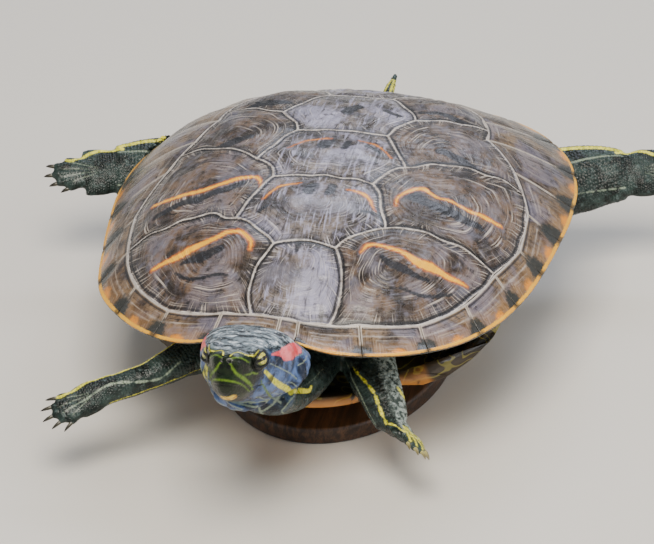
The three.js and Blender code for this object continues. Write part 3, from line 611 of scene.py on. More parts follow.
def plate_relief(edge, t, plan, seed, ridges, bold):
    """Height over the dome: bead, groove, crown, growth ridges and a little unevenness."""
    phase = YEARS * t**0.85 + 0.5 * np.sin(7 * t + seed) + 0.25 * ripple(plan, 24, seed)
    ridge = (0.5 + 0.5 * np.cos(2 * np.pi * phase)) ** 2
    amount = ridges + bold * bell(t - 0.33, 0.25)
    uneven = 0.22 * ripple(plan, 16, seed + 5) + 0.1 * ripple(plan, 6, seed + 6)
    inland = smooth((edge - 1.5) / 3) * (amount * (ridge - 0.5) + uneven)
    return np.minimum(swell(edge, CROWN, 6.5) + bead_relief(edge, BEAD_WIDTH) + inland, CROWN + 0.12)


def rounded_off(border, waves=2.6):
    """The same closed outline with its corners gone: only its few longest waves are kept."""
    spectrum = np.fft.fft(border[:, 0] + 1j * border[:, 1])
    number = np.abs(np.fft.fftfreq(len(border), 1 / len(border)))
    soft = np.fft.ifft(spectrum * np.exp(-((number / waves) ** 2) * (number > 1)))
    return np.stack([soft.real, soft.imag], -1)


def distance_to_bands(points, bands):
    """Distance to the edge of the nearest band, given as (path, half widths from start to end)."""
    gaps = [np.full(len(points), FAR)] if not bands else []
    for path, wide in bands:
        line = curve_through(path, 6 * len(path))
        wide = np.interp(np.linspace(0, 1, len(line)), np.linspace(0, 1, len(wide)), wide)
        gaps.append(distance_to_line(points, line, wide)[0])
    return np.minimum.reduce(gaps)


def plate_of_horn(name, border, areola, marks, seed, ridges, bold=0.0):
    """A closed scute over the dome. `marks` holds bands given as (kind, path, half widths)."""
    closed = np.concatenate([border, border[:1]])
    young = rounded_off(border)
    young = np.concatenate([young, young[:1]])
    rows = ROWS[:, None, None]
    plan = mix(areola, mix(closed, young, 0.85 * smooth((1 - rows) / 0.5)), rows)
    flat = plan.reshape(-1, 2)
    edge = distance_to_line(flat, closed)[0].reshape(plan.shape[:2])
    edge[-1] = 0
    top = on_dome(wander(plan), plate_relief(edge, ROWS[:, None], plan, seed, ridges, bold))
    under = [on_dome(wander(mix(areola, closed, share)), -PLATE_DEPTH) for share in UNDER_ROWS]
    points = np.concatenate([top, under])

    reach = np.linalg.norm(closed - areola, axis=1).mean()
    growth = np.stack(np.broadcast_arrays(travelled(closed), (ROWS * reach)[:, None]), -1)
    piece = laid_grid(name, points, np.concatenate([growth, growth[-3:]]) * MM)

    def with_under(values, fill):
        return np.concatenate([values, np.full((len(UNDER_ROWS), values.shape[1]), fill)])

    away = np.gradient(closed, axis=0)
    rearward = -away[:, 0] / (np.linalg.norm(away, axis=1) + 1e-9)
    fields = {"edge": with_under(edge, 0.0), "rearward": np.tile(rearward, (len(points), 1))}
    for kind in ("gold", "dusk", "pale"):
        bands = [band for what, *band in marks if what == kind]
        fields[kind] = with_under(distance_to_bands(flat, bands).reshape(edge.shape), FAR)
    write_marks(piece, fields)
    close_up(piece)
    return piece


# %% [markdown]
# ## The markings of the shell
# Old sliders turn brown, but some of the young animal's pattern stays: an orange streak across each
# side plate with a dark band in front of it, thin orange arcs and twin dark knobs at the back of the
# middle plates. The pale patches are partly paler horn and partly a painted reflection of the sky on
# the wet dome. A painter would draw each as one stroke, and so does this table: a kind, the points
# of the stroke seen from above, and its half width from start to end.

# %% Markings and places of growth
AREOLAS = {
    "vertebral_1": (0, -76), "vertebral_2": (1, -39), "vertebral_3": (1, -1),
    "vertebral_4": (0, 38), "vertebral_5": (0, 84),
    "costal_left_1": (38, -70), "costal_left_2": (46, -32), "costal_left_3": (47, 9),
    "costal_left_4": (38, 56),
    "costal_right_1": (-37, -72), "costal_right_2": (-44, -34), "costal_right_3": (-45, 8),
    "costal_right_4": (-37, 56),
}
MARKS = {
    "vertebral_1": [("pale", [(-11, -84), (9, -86)], [5, 5]), ("dusk", [(-1, -66), (-3, -73)], [1.6, 0.4])],
    "vertebral_2": [
        ("gold", [(-23, -39), (-17.5, -31), (-9, -27)], [0.2, 0.7, 0.2]),
        ("gold", [(11, -29.5), (20, -32.5), (27, -41)], [0.2, 0.8, 0.2]),
        ("dusk", [(-3, -29), (-4.8, -34)], [2.1, 2.6]),
        ("dusk", [(4.3, -28.5), (4.4, -33)], [1.8, 2.1]),
        ("dusk", [(21, -45), (26, -44)], [1, 1.2]),
        ("dusk", [(-24, -49), (-20, -46)], [1.1, 0.8]),
        ("pale", [(-4, -42), (11, -42)], [6, 7]),
    ],
    "vertebral_3": [
        ("gold", [(-21, 2), (-12, 9), (-3, 12)], [0.05, 0.3, 0.1]),
        ("gold", [(9, 12), (18, 9), (25, 0)], [0.1, 0.4, 0.1]),
        ("dusk", [(-3.4, 10), (-5.4, 5)], [2.3, 2.9]),
        ("dusk", [(4.2, 10), (4.6, 6)], [1.8, 2.1]),
        ("dusk", [(14, 7), (19, 3)], [1.2, 0.8]),
        ("pale", [(-2, -3), (7, -4)], [4, 4]),
    ],
    "vertebral_4": [("dusk", [(2, 46), (-1, 39)], [2.6, 3.2]), ("dusk", [(15, 44), (21, 41)], [1.6, 1.2])],
    "vertebral_5": [("dusk", [(1, 93), (0, 84)], [3, 4.5])],
    "costal_left_1": [
        ("gold", [(24, -68), (27, -64), (33, -62.3), (40, -62.8)], [0.2, 0.75, 0.7, 0.9]),
        ("gold", [(40, -62.8), (47, -64), (54, -64), (61, -63.4), (69, -61.5)],
         [0.8, 1.9, 2.1, 1.3, 0.5]),
        ("dusk", [(34, -69), (44, -71), (54, -70)], [1.6, 2.1, 0.8]),
        ("dusk", [(39, -80), (54, -78), (64, -70)], [0.4, 0.9, 0.5]),
        ("pale", [(27, -69), (31, -75)], [2.6, 2]),
    ],
    "costal_left_2": [
        ("gold", [(34.5, -36), (34.5, -28), (38.5, -22.5), (43, -20.5)], [0.3, 0.7, 1, 1.2]),
        ("gold", [(43, -20.5), (51, -21.6), (59, -21), (68, -19.5), (76, -16)], [1.3, 0.7, 0.8, 1.2, 0.7]),
        ("dusk", [(39, -27), (52, -29), (69, -27)], [2.6, 3.4, 1.6]),
    ],
    "costal_left_3": [("dusk", [(44, 14), (53, 14), (63, 12)], [1.8, 2.9, 1.6])],
    "costal_left_4": [("dusk", [(30, 50), (40, 52), (52, 50)], [2, 3, 1.4])],
    "costal_right_1": [
        ("gold", [(-22.5, -72), (-23, -67), (-28, -62), (-35, -60.8)], [0.3, 0.8, 0.9, 0.9]),
        ("gold", [(-35, -60.8), (-41, -64.2), (-47, -66.6), (-55, -68), (-64, -68.2)],
         [1, 1.4, 1.7, 1.5, 0.8]),
        ("dusk", [(-36, -70), (-44, -72), (-52, -72.5)], [2.2, 2.4, 0.8]),
        ("dusk", [(-30, -84), (-44, -82), (-54, -76)], [0.4, 0.9, 0.5]),
        ("pale", [(-27, -69), (-29, -75)], [2, 1.6]),
    ],
    "costal_right_2": [
        ("gold", [(-26, -32), (-27, -25.5), (-31, -22.8), (-36, -23.6)], [0.3, 0.8, 0.9, 1]),
        ("gold", [(-36, -23.6), (-46, -27.6), (-58, -28.2), (-73, -23.5)], [1.1, 1.2, 1.2, 0.8]),
        ("dusk", [(-35, -28), (-46, -33.5), (-70, -34)], [2, 2.5, 1.5]),
    ],
    "costal_right_3": [("dusk", [(-39, 13), (-48, 11), (-59, 9)], [2, 2.9, 1.4])],
    "costal_right_4": [("dusk", [(-30, 50), (-40, 52), (-52, 50)], [2, 3, 1.4])],
}

# %% [markdown]
# ## Weathered horn
# The plates are wet, half-clear horn over pigment. The recipe goes from the inside out: broad brown
# and grey clouds, then fine pale lines that follow the growth rings, a band of painted shade along
# the inside of each seam, a few short hatches square to the seams, pale patches that are partly paler
# horn and partly a painted reflection of the sky, the dark bands, the orange streaks with ragged
# edges, and last the pale bead of new horn along each seam with its dark groove, whose dark line is
# partly pigment and partly painted shade. A clear coat gives the wet gloss. The lines are bumps as
# well, because real growth lines catch the light.

# %% Horn material
WET = {"coat": 0.25, "coat_roughness": 0.12, "specular": 0.4}
GROWTH_BUMP, GRAIN_BUMP = 0.00035, 0.00008


def horn_material(name, warm, cool, line, ring_share, streak_share, cool_share):
    horn = Recipe(name, 900)  # keratin: brown pigment under a wet, worn gloss
    growth = horn.growth()
    edge, gold, dusk, pale, rearward = horn.marks("edge", "gold", "dusk", "pale", "rearward")
    clouds = horn.noise(70, 4, 0.6, 0.4)
    motes = horn.noise(260, 3, 0.65)
    patches = horn.noise(38, 3, 0.55, 0.7)
    streaks = horn.noise((620, 70, 70), 3, 0.6, 0.5)
    rings = horn.noise((16, 1150, 1), 2.5, 0.6, along=growth)
    fine_rings = horn.noise((60, 2600, 1), 2, 0.5, along=growth)
    hatches = horn.noise((1050, 45, 1), 2, 0.6, along=growth)
    worn = horn.ramp(horn.noise(60, 2, 0.5, 0.5), 0.44, 0.58, 0.12, 1.0)

    horn.colour = horn.tones(clouds, 0.38, 0.62, *warm)
    horn.paint(cool, patches, 0.5, 0.62, 0, cool_share)
    horn.paint("#241c17", patches, 0.46, 0.37, 0, 0.75)
    horn.paint(cool, motes, 0.5, 0.78, 0, 0.6)
    horn.paint("#1a1511", motes, 0.46, 0.3, 0, 0.8)
    horn.paint(cool, streaks, 0.53, 0.66, 0, streak_share)
    horn.paint("#1d1918", streaks, 0.46, 0.34, 0, streak_share)
    ring_share = horn.times(worn, ring_share)
    horn.paint(line, horn.times(horn.ramp(rings, 0.56, 0.64), ring_share))
    horn.paint(line, fine_rings, 0.6, 0.7, 0, 0.25)
    horn.paint("#151210", horn.times(horn.ramp(rings, 0.46, 0.37), ring_share))
    # painted shade: a dark band a few millimetres wide along the inside of every seam
    horn.paint("#211c1a", edge, 4.8, 1.2, 0, 0.5)
    near_seam = horn.ramp(edge, 7.5, 2.0)
    horn.paint(line, horn.times(near_seam, horn.ramp(hatches, 0.55, 0.65, 0, 0.75)))
    horn.paint("#1a1a1d", horn.times(near_seam, horn.ramp(hatches, 0.45, 0.34, 0, 0.7)))

    # painted reflection, partly pigment: pale lilac-grey patches stand in for the sky mirrored on the wet
    # dome
    horn.paint("#8f8d9c", horn.torn(pale, 6.0), 4.0, -4.0, 0, 0.4)
    horn.paint("#1b1d22", horn.torn(dusk, 1.8), 0.6, -0.5, 0, 0.93)
    gold_edge = horn.torn(gold, 1.5)
    horn.paint("#b8642a", gold_edge, 1.2, 0.1, 0, 0.65)
    horn.paint(horn.tones(gold, 0.1, -0.6, "#dc8416", "#fab91f"), gold_edge, 0.3, -0.25)
    # partly pigment, partly painted shade: the dark line in the seam groove, wider where the edge faces
    # rearward
    groove = horn.maths("SUBTRACT", horn.away(edge, 1.25), horn.times(rearward, 0.3))
    horn.paint("#131214", groove, 0.8, 0.1, 0, 0.9)
    bead = horn.tones(motes, 0.35, 0.6, "#9a918a", "#d3cbc2")
    horn.paint(bead, horn.torn(edge, 0.35), 0.52, 0.3)

    relief = horn.maths("MULTIPLY_ADD", rings, 0.6, fine_rings)
    relief = horn.maths("MULTIPLY_ADD", horn.times(near_seam, hatches), 0.5, relief)
    bumps = [(relief, GROWTH_BUMP), (horn.noise(1900), GRAIN_BUMP)]
    return horn.finish(horn.ramp(motes, 0.3, 0.75, 0.22, 0.42), bumps, **WET)


horn_middle = horn_material(
    "Wet horn of the middle plates", ("#2a2320", "#74685f"), "#a3a1ba", "#d6cfce", 0.5, 0.75, 0.75
)
horn_side = horn_material(
    "Wet horn of the side plates", ("#2c221a", "#6d5642"), "#7d7c8c", "#c4b9ad", 0.8, 0.15, 0.4
)

# %% Make the thirteen dome plates
RIDGES_MIDDLE, RIDGES_SIDE = 0.07, 0.15
BOLD = {"costal_left_1": 0.22, "costal_right_1": 0.22}  # their old growth ridges stand out more

for seed, (node, border) in enumerate(plates.items()):
    middle = node.startswith("vertebral")
    relief = (seed, RIDGES_MIDDLE if middle else RIDGES_SIDE, BOLD.get(node, 0))
    scute = plate_of_horn(f"scute_{node}", border, np.array(AREOLAS[node], float), MARKS[node], *relief)
    hand_over(scute, horn_middle if middle else horn_side, "carapace", node)
print("dome plates:", len(plates), "faces of the last:", len(scute.data.polygons))

# %% [markdown]
# ## One plate of the rim
# A rim plate is a wedge: thick where it meets the dome and thin at its rounded free edge. It is laid
# as a closed sweep. Each column of the grid is one cross-section, down from the seam over the top,
# round the edge and back underneath, and the columns follow each other along the rim. The last
# column at each end shrinks to a point, which closes the end.

# %% A plate of the rim
RIM_EDGE, RIM_ROOT = 1.6, 6  # thickness
RIM_STEP = 0.8
RIM_CROWN = 0.58
RIM_BEAD = 0.7
TOP_SHARES = np.concatenate([[0, 0.012, 0.025, 0.042], np.linspace(0.065, 1, 30)])
UNDER_SHARES = (0.9, 0.75, 0.55, 0.4, 0.2)
ROUND_TURNS = (50, 20, -15, -50, -90)  # degrees, round the free edge
FIRST_TOOTH = 7
REAR_TOOTH, FRONT_TOOTH, DEEP_TOOTH = 0.018, 0.004, 0.026
TOOTH_LENGTH = 0.14


def tooth_at(number, side):
    """How far the rim is drawn in near a seam, as a share of the way out."""
    nearest = np.round(number)
    depth = np.where(nearest >= FIRST_TOOTH, REAR_TOOTH, FRONT_TOOTH)
    if side == RIGHT:
        depth = np.where(nearest == 5, DEEP_TOOTH, depth)
    return depth * np.exp(-np.abs(number - nearest) / TOOTH_LENGTH)


def rim_thickness(share):
    return mix(RIM_ROOT, RIM_EDGE, clamp01((share - 0.4) / 0.6))


def rim_plate(name, inner, outer, inset, blotches, seed):
    """A closed rim plate between its inner and outer lines. `blotches` are the radii at its ends."""
    rounding = RIM_EDGE / 2
    width = np.linalg.norm(outer - inner, axis=1)
    outward = np.c_[(outer - inner) / width[:, None], np.zeros(len(outer))]
    up = np.array([0, 0, 1.0])
    reach_out = 1 - inset - rounding / width
    plan = inner + (outer - inner) * (TOP_SHARES[:, None] * reach_out)[..., None]
    flat, shape = plan.reshape(-1, 2), plan.shape[:2]
    edge, along = distance_to_line(flat, np.concatenate([outer[:1], inner, outer[-1:]]))
    edge, along = edge.reshape(shape), along.reshape(shape)
    bead = distance_to_line(flat, inner)[0].reshape(shape)

    ridge = np.cos(2 * np.pi * (edge / 2.6 + 0.2 * ripple(plan, 20, seed)))
    lumps = 0.07 * smooth((edge - 2) / 3) * ridge + 0.14 * smooth(edge / 4) * ripple(plan, 13, seed)
    fade = smooth((1 - TOP_SHARES) / 0.3)[:, None]
    proud = (swell(edge, RIM_CROWN, 4.5) + lumps) * fade + bead_relief(bead, RIM_BEAD)
    top = on_dome(plan, proud - 0.25 * (1 - fade) * bell(edge, 0.5))
    centre = top[-1] - up * rounding
    arc = [centre + rounding * (np.cos(a) * outward + np.sin(a) * up) for a in np.radians(ROUND_TURNS)]
    under = []
    for share in UNDER_SHARES:
        x, y = (inner + (outer - inner) * (share * reach_out)[:, None]).T
        under.append(dome_point(x, y) - up * rim_thickness(share))
    under.append(on_dome(inner, -RIM_ROOT))
    points = np.concatenate([top, arc, under, top[:1]])

    from_edge = (1 - TOP_SHARES)[:, None] * width
    round_edge = -np.outer((0.2, 0.6, 1, 1.5, 2), np.ones(len(outer)))
    below_edge = -2 - np.outer((0.1, 0.25, 0.45, 0.6, 0.8, 1), width - 2)
    from_edge = np.concatenate([from_edge, round_edge, below_edge, from_edge[:1]])
    inland, on_edge = np.abs(from_edge), travelled(outer)
    blot = [np.hypot(on_edge, 0.85 * inland), np.hypot(on_edge[-1] - on_edge, 0.85 * inland)]
    glow = np.hypot(0.8 * (on_edge - 0.54 * on_edge[-1]), 1.1 * inland) - 0.55 * blotches.mean()

    def all_round(values):
        rest = len(points) - len(values) - 1
        return np.concatenate([values, np.repeat(values[-1:], rest, 0), values[:1]])

    fields = {
        "edge": all_round(edge),
        "bead": all_round(bead),
        "rim": from_edge,
        "blot": np.minimum(blot[0] - blotches[0], blot[1] - blotches[1]),
        "glow": glow,
    }
    growth = np.stack([all_round(along), all_round(edge)], -1) * MM
    piece = laid_grid(name, with_ends(points, shrink=True), with_ends(growth))
    write_marks(piece, {key: with_ends(values) for key, values in fields.items()})
    close_up(piece)
    return piece


def rim_numbers(start, end):
    """Numbers along one plate, closer together at its two ends."""
    gap, lip = 0.15 / MARGINAL_LENGTH, 0.5 / MARGINAL_LENGTH
    inside = np.linspace(start + lip, end - lip, round(MARGINAL_LENGTH / RIM_STEP))
    return np.concatenate([[start + gap], inside, [end - gap]])


# %% [markdown]
# ## Horn of the rim
# The rim plates are a little more colourful than the dome. Each seam ends in a dark blue-green blotch
# at the free edge, with an orange glow between two blotches, and the edge itself is drawn with a
# yellow line. Just under that line the rounded edge is darkened with painted shade. The underside is
# yellow with the same blotches, as the two sides of one scute match.

# %% Rim material
horn = Recipe("Wet horn of the rim", 700)  # thin keratin, so the yellow layer below it shows
growth = horn.growth()
edge, bead, rim, blot, glow = horn.marks("edge", "bead", "rim", "blot", "glow")
clouds = horn.noise(65, 4, 0.6, 0.4)
motes = horn.noise(260, 3, 0.65)
patches = horn.noise(42, 3, 0.55, 0.7)
rings = horn.noise((22, 1250, 1), 2.5, 0.6, along=growth)
hatches = horn.noise((900, 60, 1), 2, 0.6, along=growth)
horn.colour = horn.tones(clouds, 0.38, 0.62, "#352a22", "#7f684e")
horn.paint("#787588", patches, 0.52, 0.62, 0, 0.5)
horn.paint("#2a221b", patches, 0.45, 0.36, 0, 0.6)
horn.paint("#7d7a82", motes, 0.5, 0.78, 0, 0.6)
horn.paint("#211b16", motes, 0.46, 0.28, 0, 0.8)
horn.paint("#b0a496", rings, 0.55, 0.65, 0, 0.5)
horn.paint("#1f1a18", rings, 0.46, 0.35, 0, 0.8)
horn.paint("#2b2a2b", hatches, 0.45, 0.3, 0, 0.35)
frame_line = horn.ramp(horn.torn(horn.away(bead, 4.6), 1.2), 0.7, 0.1)
horn.paint("#b3aaa4", horn.times(frame_line, horn.ramp(clouds, 0.42, 0.6, 0, 0.45)))
horn.paint("#a87c46", horn.torn(rim, 3.0), 9.0, 1.0, 0, 0.4)
horn.paint("#df8d24", horn.torn(glow, 3.0), 1.2, -1.6, 0, 0.95)
# painted shade: the lower face of the rounded edge and the start of the underside are darkened; the
# underside turns yellow further in
horn.paint("#4a3d26", rim, -0.6, -1.0)
horn.paint("#bd9140", rim, -2.4, -5.0)
blot_edge = horn.torn(blot, 4.5)
horn.paint("#232b2b", blot_edge, 1.5, -1.3, 0, 0.93)
hem = horn.ramp(horn.torn(horn.maths("ABSOLUTE", rim), 1.0), 0.75, 0.42)
hem = horn.times(hem, horn.ramp(blot_edge, -5.0, -2.0, 0.12, 1.0))
horn.paint(horn.blend(clouds, "#f3c52c", "#de8620"), hem)
horn.paint("#1f1e20", horn.away(bead, 1.25), 0.6, 0.1, 0, 0.8)
between = horn.times(horn.ramp(edge, 0.75, 0.5), horn.ramp(blot_edge, -0.5, 2.5, 0, 0.9))
horn.paint(horn.blend(motes, "#9a8f83", "#cfc5b8"), between)
horn.paint(horn.blend(motes, "#9a918a", "#d3cbc2"), horn.torn(bead, 0.35), 0.52, 0.3)
bumps = [(rings, GROWTH_BUMP), (horn.noise(1900), GRAIN_BUMP)]
rim_horn = horn.finish(horn.ramp(motes, 0.3, 0.75, 0.22, 0.42), bumps, **WET)

# %% Make the rim plates
NUCHAL_BLOTCHES = np.array([2.4, 2.4])
rng = np.random.default_rng(5)
spokes = range(MARGINALS + 1)
BLOTCH = {  # radii, small over the shoulders and large behind
    side: rng.uniform(0.85, 1.15, len(spokes)) * np.interp(spokes, (0, 3, 7), (4.2, 5.6, 7.4))
    for side in (LEFT, RIGHT)
}
shapes = {}
for word, side in SIDES.items():
    for number in range(1, MARGINALS + 1):
        along = rim_numbers(number - 1, number)
        lines = spoke(along, loop_reach(along, side), side), spoke(along, 1, side), tooth_at(along, side)
        shapes[f"marginal_{word}_{number:02d}"] = (*lines, BLOTCH[side][number - 1 : number + 1], number)
across = np.linspace(0.015, 0.985, 12)[:, None]
lines = [mix(spoke(0, reach, RIGHT), spoke(0, reach, LEFT), across) for reach in (loop_reach(0, LEFT), 1)]
shapes["nuchal"] = (*lines, np.zeros(len(across)), NUCHAL_BLOTCHES, 0)
for node, shape in shapes.items():
    scute = rim_plate(f"scute_{node}", *shape)
    hand_over(scute, rim_horn, "rim", node)
print("rim plates:", len(shapes), "faces of the last:", len(scute.data.polygons))

# %% [markdown]
# ## The belly plate
# The plastron is one flat bone plate whose two sides turn up into the bridges that join the rim. It
# is swept from front to rear: each section runs across the outside and comes back inside. Its six
# pairs of scutes are only shallow grooves here, so they are cut by depth and not by separate meshes.

# %% Plastron shape
BELLY_DEPTH, BELLY_THICKNESS = 34, 5
BELLY_FRONT, BELLY_REAR = -96, 99
BRIDGE_FRONT, BRIDGE_REAR = -56, 50
LOBE_HALF_WIDTH = 47
BRIDGE_SHARE = 0.9  # of the shell's half width
BRIDGE_TOP, BRIDGE_CORNER = 1.5, 7
BELLY_UPTURN = 6
ANAL_NOTCH, NOTCH_START = 10, 80
BELLY_SEAMS = (-78, -52, -14, 30, 62)  # between neighbouring pairs of scutes
SEAM_RISE = 0.45


def belly_half_width(y, inset):
    front_lobe = LOBE_HALF_WIDTH * clamp01((y - BELLY_FRONT + 0.5) / 55) ** 0.42
    rear_lobe = LOBE_HALF_WIDTH * (0.36 + 0.64 * clamp01((BELLY_REAR - y) / 50) ** 0.7)
    front_share = smooth((y - BRIDGE_FRONT - inset) / BRIDGE_CORNER + 1)
    rear_share = smooth((BRIDGE_REAR - inset - y) / BRIDGE_CORNER + 1)
    oval = (1 - np.abs(y / HALF_LENGTH) ** OVAL_POWER) ** (1 / OVAL_POWER)
    bridge = BRIDGE_SHARE * half_width_at(y) * oval
    return mix(np.minimum(front_lobe, rear_lobe), bridge, front_share * rear_share)


def bridge_share(x):
    """0 on the flat belly and 1 where the bridge meets the rim."""
    return clamp01((np.abs(x) - LOBE_HALF_WIDTH) / (BRIDGE_SHARE * HALF_WIDTH - LOBE_HALF_WIDTH))


def belly_point(share, y, inset=0):
    x = share * belly_half_width(y, inset)
    rear_edge = clamp01((y - NOTCH_START) / (BELLY_REAR - NOTCH_START))
    notch = ANAL_NOTCH * rear_edge * (1 - np.abs(share)) ** 1.5
    upturn = BELLY_UPTURN * clamp01(-(y + 60) / 36) ** 1.5
    height = -BELLY_DEPTH + (BELLY_DEPTH + BRIDGE_TOP) * bridge_share(x) ** 1.7 + upturn
    return np.stack(np.broadcast_arrays(x, y - notch, height), -1)


stations = BELLY_FRONT + (BELLY_REAR - BELLY_FRONT) * np.linspace(0, 1, 150)[None]
outside = np.linspace(-1, 1, 91)[:, None]
inside = np.linspace(1, -1, 41)[:, None]
lower = belly_point(outside, stations)
upper = belly_point(inside, stations, BELLY_THICKNESS)
steep = clamp01((np.abs(upper[..., 0]) - LOBE_HALF_WIDTH) / 20)
upper[..., 0] -= np.sign(upper[..., 0]) * steep * 3.5
upper[..., 2] += BELLY_THICKNESS - 1.5 * steep
seam_gap = np.abs(lower[..., 0] + 0.8 * ripple(lower[..., 1:2], 60, 8))
for seam_y in BELLY_SEAMS:
    bowed = lower[..., 1] - seam_y + 0.05 * np.abs(lower[..., 0])
    bowed = bowed + 0.6 * ripple(lower[..., :1], 40, seam_y + 99)
    seam_gap = np.minimum(seam_gap, np.abs(bowed))
lower[..., 2] += SEAM_RISE * bell(seam_gap, 0.8)
points = with_ends(np.concatenate([lower, upper, lower[:1]]), shrink=True)
is_inner = np.zeros(points.shape[:2])
is_inner[len(outside) : -1] = 1
lobe = np.abs(np.concatenate([outside, inside, outside[:1]])) * np.ones_like(stations)
plastron = laid_grid("belly_plate", points)
marks = {
    "edge": with_ends(np.concatenate([seam_gap, np.full(upper.shape[:2], 9.0), seam_gap[:1]])),
    "lobe": with_ends(lobe),
    "bridge": bridge_share(points[..., 0]),
    "inner": is_inner,
}
write_marks(plastron, marks)
close_up(plastron)

# %% Plastron material
horn = Recipe("Yellow plastron horn")  # smooth keratin, amber with smoky blotches
edge, lobe, bridge, inner = horn.marks("edge", "lobe", "bridge", "inner")
smoke = horn.noise(55, 3, 0.6, 0.8)
grain = horn.noise((320, 112, 320), 3, 0.6)
horn.colour = horn.blend(grain, "#c98a35", "#e2ad4c")
horn.paint("#cf7a30", lobe, 0.72, 1.0, 0, 0.6)
horn.paint("#2a2c26", smoke, 0.54, 0.62, 0, 0.88)
horn.paint("#5a4426", edge, 0.9, 0.2, 0, 0.75)
curls = horn.maths("SINE", horn.times(horn.noise(42, 2, 0.5, 0.6), 70))
olive = horn.blend(horn.ramp(curls, 0.72, 0.95, 0, 0.8), "#1b211b", "#8c863a")
dark_side = horn.maths("MAXIMUM", horn.ramp(bridge, 0.1, 0.2), inner)
horn.paint(olive, horn.times(dark_side, 0.95))
belly_horn = horn.finish(horn.ramp(grain, 0.3, 0.7, 0.3, 0.45), [(grain, 0.0003)], coat=0.3)
hand_over(plastron, belly_horn, "plastron", "plastron")
print("belly plate faces:", len(plastron.data.polygons))

# %% [markdown]
# ## The display stand
# Plain and quiet, so that the eye stays on the animal: a bevelled oval of dark oiled wood and two
# brass rods under the belly plate. They are Blender's cylinders, sized, turned and rounded.

# %% Stand
BASE_HALF_WIDTH, BASE_HALF_LENGTH, BASE_THICKNESS, BASE_EDGE = 52, 78, 8, 1.5
ROD_RADIUS, ROD_EDGE, ROD_GAP, BELLY_CLEARANCE = 3.2, 0.4, 0.4, 24
ROD_PLACES = {"front": -34, "rear": 40}


def standing_cylinder(name, radius, bottom, top, y, rounding, stretch=1.0):
    place = Vector((0, y, (top + bottom) / 2)) * MM
    depth = (top - bottom) * MM
    bpy.ops.mesh.primitive_cylinder_add(vertices=96, radius=radius * MM, depth=depth, location=place)
    piece = named(bpy.context.object, name)
    piece.scale = (1, stretch, 1)
    bpy.ops.object.transform_apply(location=True, rotation=True, scale=True)
    bevel = piece.modifiers.new("rounding", "BEVEL")
    bevel.width = rounding * MM
    bevel.segments = 4
    bevel.limit_method = "ANGLE"
    bpy.ops.object.modifier_apply(modifier="rounding")
    bpy.ops.object.shade_smooth_by_angle(angle=math.radians(40))
    return piece


wood = Recipe("Oiled walnut")  # long dark grain under a thin satin oil
grain = wood.noise((420, 26, 300), 4, 0.6, 0.4)
pores = wood.noise((2600, 160, 900), 2, 0.5)
wood.colour = wood.tones(grain, 0.36, 0.66, "#2a1d16", "#553b29")
wood.paint("#17100c", pores, 0.44, 0.34, 0, 0.7)
oiled = {"bumps": [(pores, 0.00015)], "coat": 0.15, "coat_roughness": 0.25}
oiled_wood = wood.finish(wood.ramp(grain, 0.3, 0.7, 0.38, 0.55), **oiled)

rod_metal = Recipe("Brushed brass")  # fine lines round the rod blur its highlight
lines = rod_metal.noise((60, 60, 9000), 2, 0.6)
rod_metal.colour = "#b08d4f"
brass = rod_metal.finish(rod_metal.ramp(lines, 0.3, 0.7, 0.26, 0.4), [(lines, 0.00004)], metal=1.0)

stretch = BASE_HALF_LENGTH / BASE_HALF_WIDTH
base = standing_cylinder("wood_base", BASE_HALF_WIDTH, 0, BASE_THICKNESS, 0, BASE_EDGE, stretch)
hand_over(base, oiled_wood, "stand_wood", "stand_base")
bottom, top = BASE_THICKNESS + ROD_GAP, BELLY_CLEARANCE - ROD_GAP
for word, y in ROD_PLACES.items():
    rod = standing_cylinder(f"brass_rod_{word}", ROD_RADIUS, bottom, top, y, ROD_EDGE)
    hand_over(rod, brass, "stand_rod", f"stand_rod_{word}")
print("stand parts: a base and", len(ROD_PLACES), "rods")

# %% [markdown]
# ## The soft body, as simple forms
# Under the horn is one skin. It is easiest to reach from simple forms: a lofted head, and tubes with
# oval sections for the neck, the tail and the legs. Each is a closed grid, so it has an inside, and
# that is all that the next step needs to melt them into one. Sections run through a few stations,
# each a place with a half width and a half thickness.

# %% Stations of the body
SNOUT = np.array([-13, -170, 36.0])
HEAD_YAW, HEAD_PITCH = -4, -24  # degrees
HEAD_TURN = np.array(
    Matrix.Rotation(math.radians(HEAD_YAW), 3, "Z") @ Matrix.Rotation(math.radians(HEAD_PITCH), 3, "X")
)
EYE = np.array([9.4, 14.2, 1.2])  # in the head's own frame, as every number about the head
EYE_RADIUS = 4.5
SOCKET = np.array([7.6, 14.2, 1.2])  # a ball of flesh round each eye
SOCKET_RADIUS = 5.9
SLIM = 0.97  # the skin lies a little inside the solids, to leave room for the scales


def from_head(points):
    return np.asarray(points, float) @ HEAD_TURN.T + SNOUT


def to_head(points):
    return (np.asarray(points, float) - SNOUT) @ HEAD_TURN


